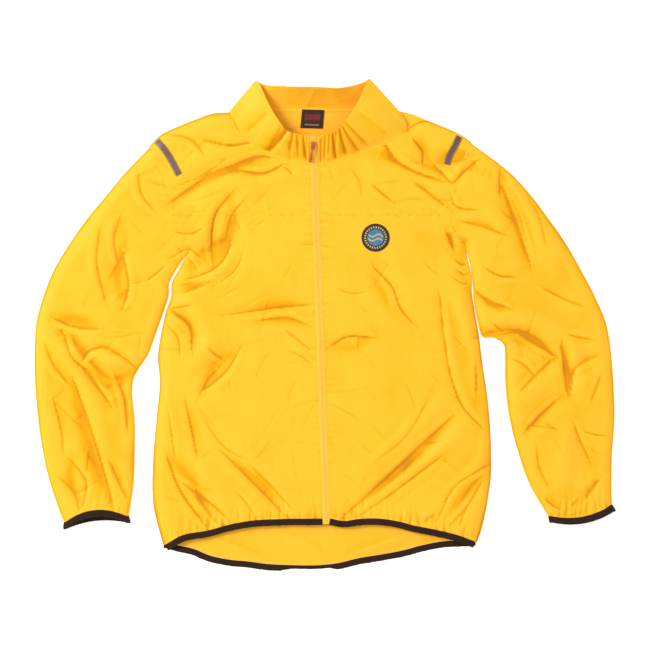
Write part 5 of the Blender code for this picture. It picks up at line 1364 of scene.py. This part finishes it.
def shell_cloth():
    """Coated yellow nylon: fine weave under a crinkled coat, with painted shade: darker, deeper orange copies of its
    colour in the hollows, the creases and between the threads.
    """
    if kept("coated shell cloth"):
        return kept("coated shell cloth")
    made, tree, shader, position, layout = finish_of("coated shell cloth")
    coat = placed_group(tree, crinkled_coat(), Position=position, Crumple=1.0)
    weave = placed_group(tree, woven_threads(), Layout=layout, Pitch=0.0007)
    painted_shade = new_node(tree, "ShaderNodeAttribute", attribute_name="painted_shade").outputs["Fac"]
    # Painted shade from the mesh's trough mask, with random patches; it blends the cloth towards its shaded copies,
    # darkest at the crease bottoms.
    uneven = times(tree, calc(tree, "SUBTRACT", coat.outputs["Patches"], 0.5), 0.7)
    depth = plus(tree, times(tree, painted_shade, 0.85), uneven, clamp=True)
    base = blend(tree, times(tree, depth, 1.8, clamp=True), colours().cloth, colours().cloth_slack_shade)
    trough_shade = times(tree, calc(tree, "SUBTRACT", depth, 0.4, clamp=True), 1.7, clamp=True)
    base = blend(tree, trough_shade, base, colours().cloth_trough_shade)
    deepest_shade = times(tree, calc(tree, "SUBTRACT", depth, 0.7, clamp=True), 1.8)
    base = blend(tree, deepest_shade, base, colours().crease)
    # Painted shade between the threads of the weave.
    base = blend(tree, times(tree, weave.outputs["Gaps"], 0.1), base, colours().cloth_trough_shade)
    dyed(tree, shader, base)
    dulled(tree, shader, 0.44, coat.outputs["Patches"], 0.16)
    height = plus(tree, coat.outputs["Height"], times(tree, weave.outputs["Height"], 0.06))
    raised(tree, shader, height, 0.0006)
    shader.inputs["Specular IOR Level"].default_value = 0.12
    return made


def elastic_binding():
    """Dark ribbed elastic, its ribs across the tape, with painted light on the rib tops and painted shade between them,
    mixed with random fuzz.
    """
    if kept("elastic binding"):
        return kept("elastic binding")
    made, tree, shader, position, layout = finish_of("elastic binding")
    ribs = placed_group(tree, woven_threads(), Layout=layout, Pitch=0.0022)
    coat = placed_group(tree, crinkled_coat(), Position=position, Crumple=1.0)
    fuzz = blotches(tree, position, 0.0015)
    # Painted light on the rib tops and painted shade between the ribs, mixed with random fuzz.
    shade = times(tree, plus(tree, ribs.outputs["Height"], fuzz), 0.5)
    base = blend(tree, shade, tint(colours().binding, 0.5), tint(colours().binding, 1.5))
    dyed(tree, shader, base)
    dulled(tree, shader, 0.7, coat.outputs["Patches"], 0.2)
    raised(tree, shader, plus(tree, ribs.outputs["Height"], times(tree, fuzz, 0.6)), 0.0006)
    shader.inputs["Specular IOR Level"].default_value = 0.2
    return made


def zip_tape():
    """Woven tape in the cloth's colour, a little paler, with painted shade in the gaps between its threads."""
    if kept("zip tape"):
        return kept("zip tape")
    made, tree, shader, position, layout = finish_of("zip tape")
    weave = placed_group(tree, woven_threads(), Layout=layout, Pitch=0.0009, Slant=0.6)
    # Painted shade: the gaps between the threads take the deeper cloth colour.
    base = blend(tree, times(tree, weave.outputs["Gaps"], 0.5), colours().tape, colours().cloth)
    dyed(tree, shader, base)
    dulled(tree, shader, 0.6, blotches(tree, position, 0.01), 0.2)
    raised(tree, shader, weave.outputs["Height"], 0.0003)
    return made


def zip_coil():
    """Moulded nylon teeth."""
    if kept("nylon coil"):
        return kept("nylon coil")
    made, tree, shader, position, _ = finish_of("nylon coil")
    worn = blotches(tree, position, 0.006)
    dyed(tree, shader, blend(tree, worn, colours().tape, colours().cloth))
    dulled(tree, shader, 0.32, worn, 0.2)
    raised(tree, shader, blotches(tree, position, 0.0008), 0.0001)
    return made


def enamel():
    """Orange enamel on cast metal, dulled in spots and darker where it is rubbed."""
    if kept("orange enamel"):
        return kept("orange enamel")
    made, tree, shader, position, _ = finish_of("orange enamel")
    rubbed = times(tree, calc(tree, "SUBTRACT", blotches(tree, position, 0.004, 4.0), 0.52), 6.0, clamp=True)
    dyed(tree, shader, blend(tree, rubbed, colours().enamel, tint(colours().enamel, 0.6)))
    dulled(tree, shader, 0.26, rubbed, 0.22)
    raised(tree, shader, blotches(tree, position, 0.0012), 0.00012)
    shader.inputs["Metallic"].default_value = 0.15
    return made


def reflective_film():
    """Beaded reflective film, grey-brown, with fine beads and faint creases."""
    if kept("reflective film"):
        return kept("reflective film")
    made, tree, shader, position, _ = finish_of("reflective film")
    beads = new_node(tree, "ShaderNodeTexVoronoi")
    beads.inputs["Scale"].default_value = 1500
    tree.links.new(position, beads.inputs["Vector"])
    patches = placed_group(tree, crinkled_coat(), Position=position, Crumple=0.5)
    pale = tint(colours().film, 1.9)
    base = blend(tree, times(tree, patches.outputs["Patches"], 0.8), tint(colours().film, 0.7), pale)
    dyed(tree, shader, base)
    dulled(tree, shader, 0.3, patches.outputs["Patches"], 0.25)
    height = plus(tree, patches.outputs["Height"], times(tree, beads.outputs["Distance"], -0.12))
    raised(tree, shader, height, 0.0005)
    return made


def thread(name, colour):
    """Spun thread, with its twist."""
    if kept(name):
        return kept(name)
    made, tree, shader, position, _ = finish_of(name)
    tone = blotches(tree, position, 0.0009)
    dyed(tree, shader, blend(tree, tone, tint(colour, 0.85), tint(colour, 1.1)))
    dulled(tree, shader, 0.5, tone, 0.25)
    raised(tree, shader, tone, 0.0003)
    return made


def band(tree, value, centre, half):
    """1 inside a band round a value, 0 outside."""
    made = new_node(tree, "ShaderNodeMath", operation="COMPARE")
    for socket, part in zip(made.inputs, (value, centre, half)):
        feed(tree, part, socket)
    return made.outputs[0]


def embroidered_patch():
    """A round badge in satin stitch: dark rim, ring of gold ticks, blue field with two plain waves, and painted shade
    between the strands.
    """
    if kept("embroidered badge"):
        return kept("embroidered badge")
    made, tree, shader, position, layout = finish_of("embroidered badge")
    centre = new_node(tree, "ShaderNodeMapping")
    centre.inputs["Location"].default_value = (-PATCH_CENTRE[0] * MM, -PATCH_CENTRE[1] * MM, 0)
    tree.links.new(position, centre.inputs["Vector"])
    parts = new_node(tree, "ShaderNodeSeparateXYZ")
    tree.links.new(centre.outputs[0], parts.inputs[0])
    x, y = parts.outputs[0], parts.outputs[1]
    square = plus(tree, times(tree, x, x), times(tree, y, y))
    radius = calc(tree, "SQRT", square)
    wave = times(tree, calc(tree, "SINE", times(tree, x, 330.0)), WAVE_HEIGHT)
    level = calc(tree, "SUBTRACT", y, wave)
    waves = calc(tree, "MAXIMUM", *(band(tree, level, way * WAVE_LEVEL, WAVE_HALF) for way in (1, -1)))
    inside = calc(tree, "LESS_THAN", radius, PATCH_FIELD - 0.001)
    field = blend(tree, times(tree, waves, inside), colours().patch_field, colours().patch_ring)
    angle = calc(tree, "ARCTAN2", y, x)
    ticks = calc(tree, "GREATER_THAN", calc(tree, "SINE", times(tree, angle, 26.0)), -0.1)
    ring = times(tree, band(tree, radius, PATCH_RING, 0.0016), ticks)
    dark = calc(tree, "GREATER_THAN", radius, PATCH_FIELD)
    ringed = blend(tree, ring, blend(tree, dark, field, colours().patch_edge), colours().patch_ring)
    rim = calc(tree, "GREATER_THAN", radius, PATCH_RIM)
    coloured = blend(tree, rim, ringed, colours().patch_edge)
    strands = placed_group(tree, woven_threads(), Layout=layout, Pitch=0.0008, Slant=0.8)
    # Painted shade between the strands of the satin stitch.
    base = blend(tree, times(tree, strands.outputs["Gaps"], 0.35), coloured, (0.03, 0.03, 0.035))
    dyed(tree, shader, base)
    dulled(tree, shader, 0.45, strands.outputs["Gaps"], 0.3)
    steps = times(tree, calc(tree, "MAXIMUM", ring, waves), 0.8)
    raised(tree, shader, plus(tree, strands.outputs["Height"], steps), 0.0004)
    return made


def woven_label():
    """A dark satin label with a plain red bar and a cream line, and painted shade between its threads."""
    if kept("woven label"):
        return kept("woven label")
    made, tree, shader, _, layout = finish_of("woven label")
    parts = new_node(tree, "ShaderNodeSeparateXYZ")
    tree.links.new(layout, parts.inputs[0])
    x, y = parts.outputs[0], parts.outputs[1]
    bar = times(tree, band(tree, y, 0.0125, 0.0048), band(tree, x, 0.018, 0.0125))
    line = times(tree, band(tree, y, 0.0245, 0.0012), band(tree, x, 0.018, 0.0115))
    base = blend(tree, bar, colours().label, colours().label_bar)
    base = blend(tree, line, base, colours().label_line)
    satin = placed_group(tree, woven_threads(), Layout=layout, Pitch=0.0005)
    # Painted shade between the satin's threads.
    base = blend(tree, times(tree, satin.outputs["Gaps"], 0.3), base, (0.004, 0.003, 0.003))
    dyed(tree, shader, base)
    dulled(tree, shader, 0.42, satin.outputs["Gaps"], 0.3)
    raised(tree, shader, satin.outputs["Height"], 0.00025)
    return made


def pale_floor():
    made, tree, shader, position, _ = finish_of("pale floor")
    tone = times(tree, blotches(tree, position, 0.4, 3.0), 0.12)
    dyed(tree, shader, blend(tree, tone, (0.93, 0.93, 0.925), (0.88, 0.88, 0.87)))
    shader.inputs["Roughness"].default_value = 0.85
    shader.inputs["Emission Color"].default_value = (1, 1, 0.985, 1)
    shader.inputs["Emission Strength"].default_value = FLOOR_GLOW
    return made


# Stage


def make_stage():
    bm = bmesh.new()
    bmesh.ops.create_grid(bm, x_segments=8, y_segments=8, size=4)
    bmesh.ops.translate(bm, verts=bm.verts, vec=(0, 0, -0.0002))
    mesh = bpy.data.meshes.new("floor")
    bm.to_mesh(mesh)
    bm.free()
    mesh.materials.append(pale_floor())
    floor = bpy.data.objects.new("floor", mesh)
    bpy.context.scene.collection.objects.link(floor)
    for name, place, size, power in (("key", KEY_LIGHT, 1.6, KEY_POWER), ("fill", FILL_LIGHT, 2.4, FILL_POWER)):
        lamp = bpy.data.lights.new(name, "AREA")
        lamp.size = size
        lamp.energy = power
        thing = bpy.data.objects.new(name, lamp)
        thing.location = place
        thing.rotation_euler = (-Vector(place)).to_track_quat("-Z", "Y").to_euler()
        bpy.context.scene.collection.objects.link(thing)
    world = bpy.data.worlds.new("pale room")
    world.use_nodes = True
    world.node_tree.nodes["Background"].inputs["Color"].default_value = (1, 1, 1, 1)
    world.node_tree.nodes["Background"].inputs["Strength"].default_value = ROOM_LIGHT
    bpy.context.scene.world = world
    bpy.context.scene.view_settings.view_transform = "Standard"
    lens = bpy.data.cameras.new("above")
    lens.sensor_width = 36
    lens.lens = 36 * CAMERA_HEIGHT / PHOTO_WIDTH
    lens.clip_end = 20
    camera = bpy.data.objects.new("above", lens)
    camera.location = (0.0008, 0.0016, CAMERA_HEIGHT)
    bpy.context.scene.collection.objects.link(camera)
    bpy.context.scene.camera = camera


# Add-on


def length(name, default, low, high, description):
    return bpy.props.FloatProperty(
        name=name, description=description, default=default, min=low, max=high, precision=4,
        subtype="DISTANCE", unit="LENGTH",
    )


def colour(name, default, description):
    return bpy.props.FloatVectorProperty(
        name=name, description=description, default=default, min=0, max=1, size=3, subtype="COLOR"
    )


class JacketSizes(bpy.types.PropertyGroup):
    """Sizes that a user would change."""

    grid_step: length("Cloth step", 0.002, 0.0015, 0.01, "Distance between the points of the fine cloth")
    crease_strength: bpy.props.FloatProperty(
        name="Creases", description="Depth of the sharp creases, 1 as the jacket lies", default=1.0, min=0, max=2
    )
    gather_strength: bpy.props.FloatProperty(
        name="Gathers", description="Depth of the wrinkles at the elastic and the seams", default=1.0, min=0, max=2
    )
    binding_width: length("Binding width", 0.011, 0.006, 0.02, "Width of the elastic at hem and cuffs")
    coil_pitch: length("Coil pitch", 0.0024, 0.0012, 0.004, "Distance between the teeth of one side of the zip")
    stitch_pitch: length("Stitch pitch", 0.0032, 0.002, 0.006, "Distance from one stitch to the next")
    patch_diameter: length("Patch diameter", 0.043, 0.03, 0.06, "Diameter of the round chest patch")


class JacketColours(bpy.types.PropertyGroup):
    """Colours that a user would change."""

    cloth: colour("Cloth", (1.0, 0.485, 0.024), "Shell cloth where the light falls on it")
    # The next three are shaded copies of the cloth colour, used as painted shade for slack cloth, troughs and crease
    # bottoms.
    cloth_slack_shade: colour("Slack cloth", (0.93, 0.40, 0.002), "Shell cloth where it lies a little lower than round it")
    cloth_trough_shade: colour("Cloth in hollows", (0.68, 0.27, 0.0), "Shell cloth in the troughs of its creases")
    crease: colour("Crease lines", (0.42, 0.15, 0.0), "Shell cloth at the bottom of its sharpest creases")
    binding: colour("Binding", (0.024, 0.01, 0.004), "Elastic at hem and cuffs")
    film: colour("Reflective film", (0.105, 0.062, 0.045), "Strips at the shoulders")
    tape: colour("Zip tape", (1.0, 0.57, 0.05), "Tape and teeth of the zip")
    enamel: colour("Enamel", (0.6, 0.15, 0.02), "Slider and pull tab")
    thread: colour("Thread", (1.0, 0.5, 0.015), "Seam stitches")
    patch_field: colour("Patch field", (0.06, 0.24, 0.48), "Middle of the chest patch")
    patch_ring: colour("Patch ring", (0.78, 0.55, 0.16), "Ring and waves of the chest patch")
    patch_edge: colour("Patch edge", (0.03, 0.022, 0.012), "Overlocked rim of the chest patch")
    label: colour("Label", (0.028, 0.006, 0.004), "Ground of the neck label")
    label_bar: colour("Label bar", (0.2, 0.012, 0.008), "Plain bar on the neck label")
    label_line: colour("Label line", (0.3, 0.2, 0.12), "Plain line on the neck label")


class RAINJACKET_OT_back(bpy.types.Operator):
    """Lay out the back of the jacket"""

    bl_idname = "rain_jacket.back"
    bl_label = "Back"

    def execute(self, context):
        make_back()
        return {"FINISHED"}


class RAINJACKET_OT_fronts(bpy.types.Operator):
    """Lay both fronts and both yokes on the back, with their creases"""

    bl_idname = "rain_jacket.fronts"
    bl_label = "Fronts and Yokes"

    def execute(self, context):
        make_fronts()
        return {"FINISHED"}


class RAINJACKET_OT_sleeves(bpy.types.Operator):
    """Lay out both sleeves as flattened tubes"""

    bl_idname = "rain_jacket.sleeves"
    bl_label = "Sleeves"

    def execute(self, context):
        make_sleeves()
        return {"FINISHED"}


class RAINJACKET_OT_collar(bpy.types.Operator):
    """Stand the collar round the neck, with its pleats"""

    bl_idname = "rain_jacket.collar"
    bl_label = "Collar"

    def execute(self, context):
        make_collar()
        return {"FINISHED"}


class RAINJACKET_OT_bindings(bpy.types.Operator):
    """Bind the hem and the cuffs with elastic"""

    bl_idname = "rain_jacket.bindings"
    bl_label = "Elastic Bindings"

    def execute(self, context):
        make_bindings()
        return {"FINISHED"}


class RAINJACKET_OT_zip(bpy.types.Operator):
    """Add the zip's tapes, teeth, slider and pull tab"""

    bl_idname = "rain_jacket.zip"
    bl_label = "Zip"

    def execute(self, context):
        make_zip()
        return {"FINISHED"}


class RAINJACKET_OT_trim(bpy.types.Operator):
    """Add the reflective strips, the chest patch and the neck label"""

    bl_idname = "rain_jacket.trim"
    bl_label = "Strips, Patch and Label"

    def execute(self, context):
        make_trim()
        return {"FINISHED"}


class RAINJACKET_OT_stitching(bpy.types.Operator):
    """Sew the visible seams and edges"""

    bl_idname = "rain_jacket.stitching"
    bl_label = "Stitching"

    def execute(self, context):
        make_stitching()
        return {"FINISHED"}


class RAINJACKET_OT_stage(bpy.types.Operator):
    """Set the floor, the lights and the camera above the jacket"""

    bl_idname = "rain_jacket.stage"
    bl_label = "Stage"

    def execute(self, context):
        make_stage()
        return {"FINISHED"}


OPERATORS = (
    RAINJACKET_OT_stage,
    RAINJACKET_OT_back,
    RAINJACKET_OT_fronts,
    RAINJACKET_OT_sleeves,
    RAINJACKET_OT_collar,
    RAINJACKET_OT_bindings,
    RAINJACKET_OT_zip,
    RAINJACKET_OT_trim,
    RAINJACKET_OT_stitching,
)


class RAINJACKET_PT_panel(bpy.types.Panel):
    """Sizes, colours and pieces of the rain jacket"""

    bl_idname = "RAINJACKET_PT_panel"
    bl_label = "Rain Jacket"
    bl_space_type = "VIEW_3D"
    bl_region_type = "UI"
    bl_category = "Jacket"

    def draw(self, context):
        column = self.layout.column(align=True)
        for group in (context.scene.rain_jacket_sizes, context.scene.rain_jacket_colours):
            for key in group.__annotations__:
                column.prop(group, key)
            column.separator()
        for operator in OPERATORS:
            column.operator(operator.bl_idname)


CLASSES = (JacketSizes, JacketColours, *OPERATORS, RAINJACKET_PT_panel)


def register():
    for made in CLASSES:
        bpy.utils.register_class(made)
    bpy.types.Scene.rain_jacket_sizes = bpy.props.PointerProperty(type=JacketSizes)
    bpy.types.Scene.rain_jacket_colours = bpy.props.PointerProperty(type=JacketColours)


def unregister():
    del bpy.types.Scene.rain_jacket_colours
    del bpy.types.Scene.rain_jacket_sizes
    for made in reversed(CLASSES):
        bpy.utils.unregister_class(made)


def main():
    register()
    bpy.ops.rain_jacket.stage()
    bpy.ops.rain_jacket.back()
    bpy.ops.rain_jacket.fronts()
    bpy.ops.rain_jacket.sleeves()
    bpy.ops.rain_jacket.collar()
    bpy.ops.rain_jacket.bindings()
    bpy.ops.rain_jacket.zip()
    bpy.ops.rain_jacket.trim()
    bpy.ops.rain_jacket.stitching()


if __name__ == "__main__":
    main()
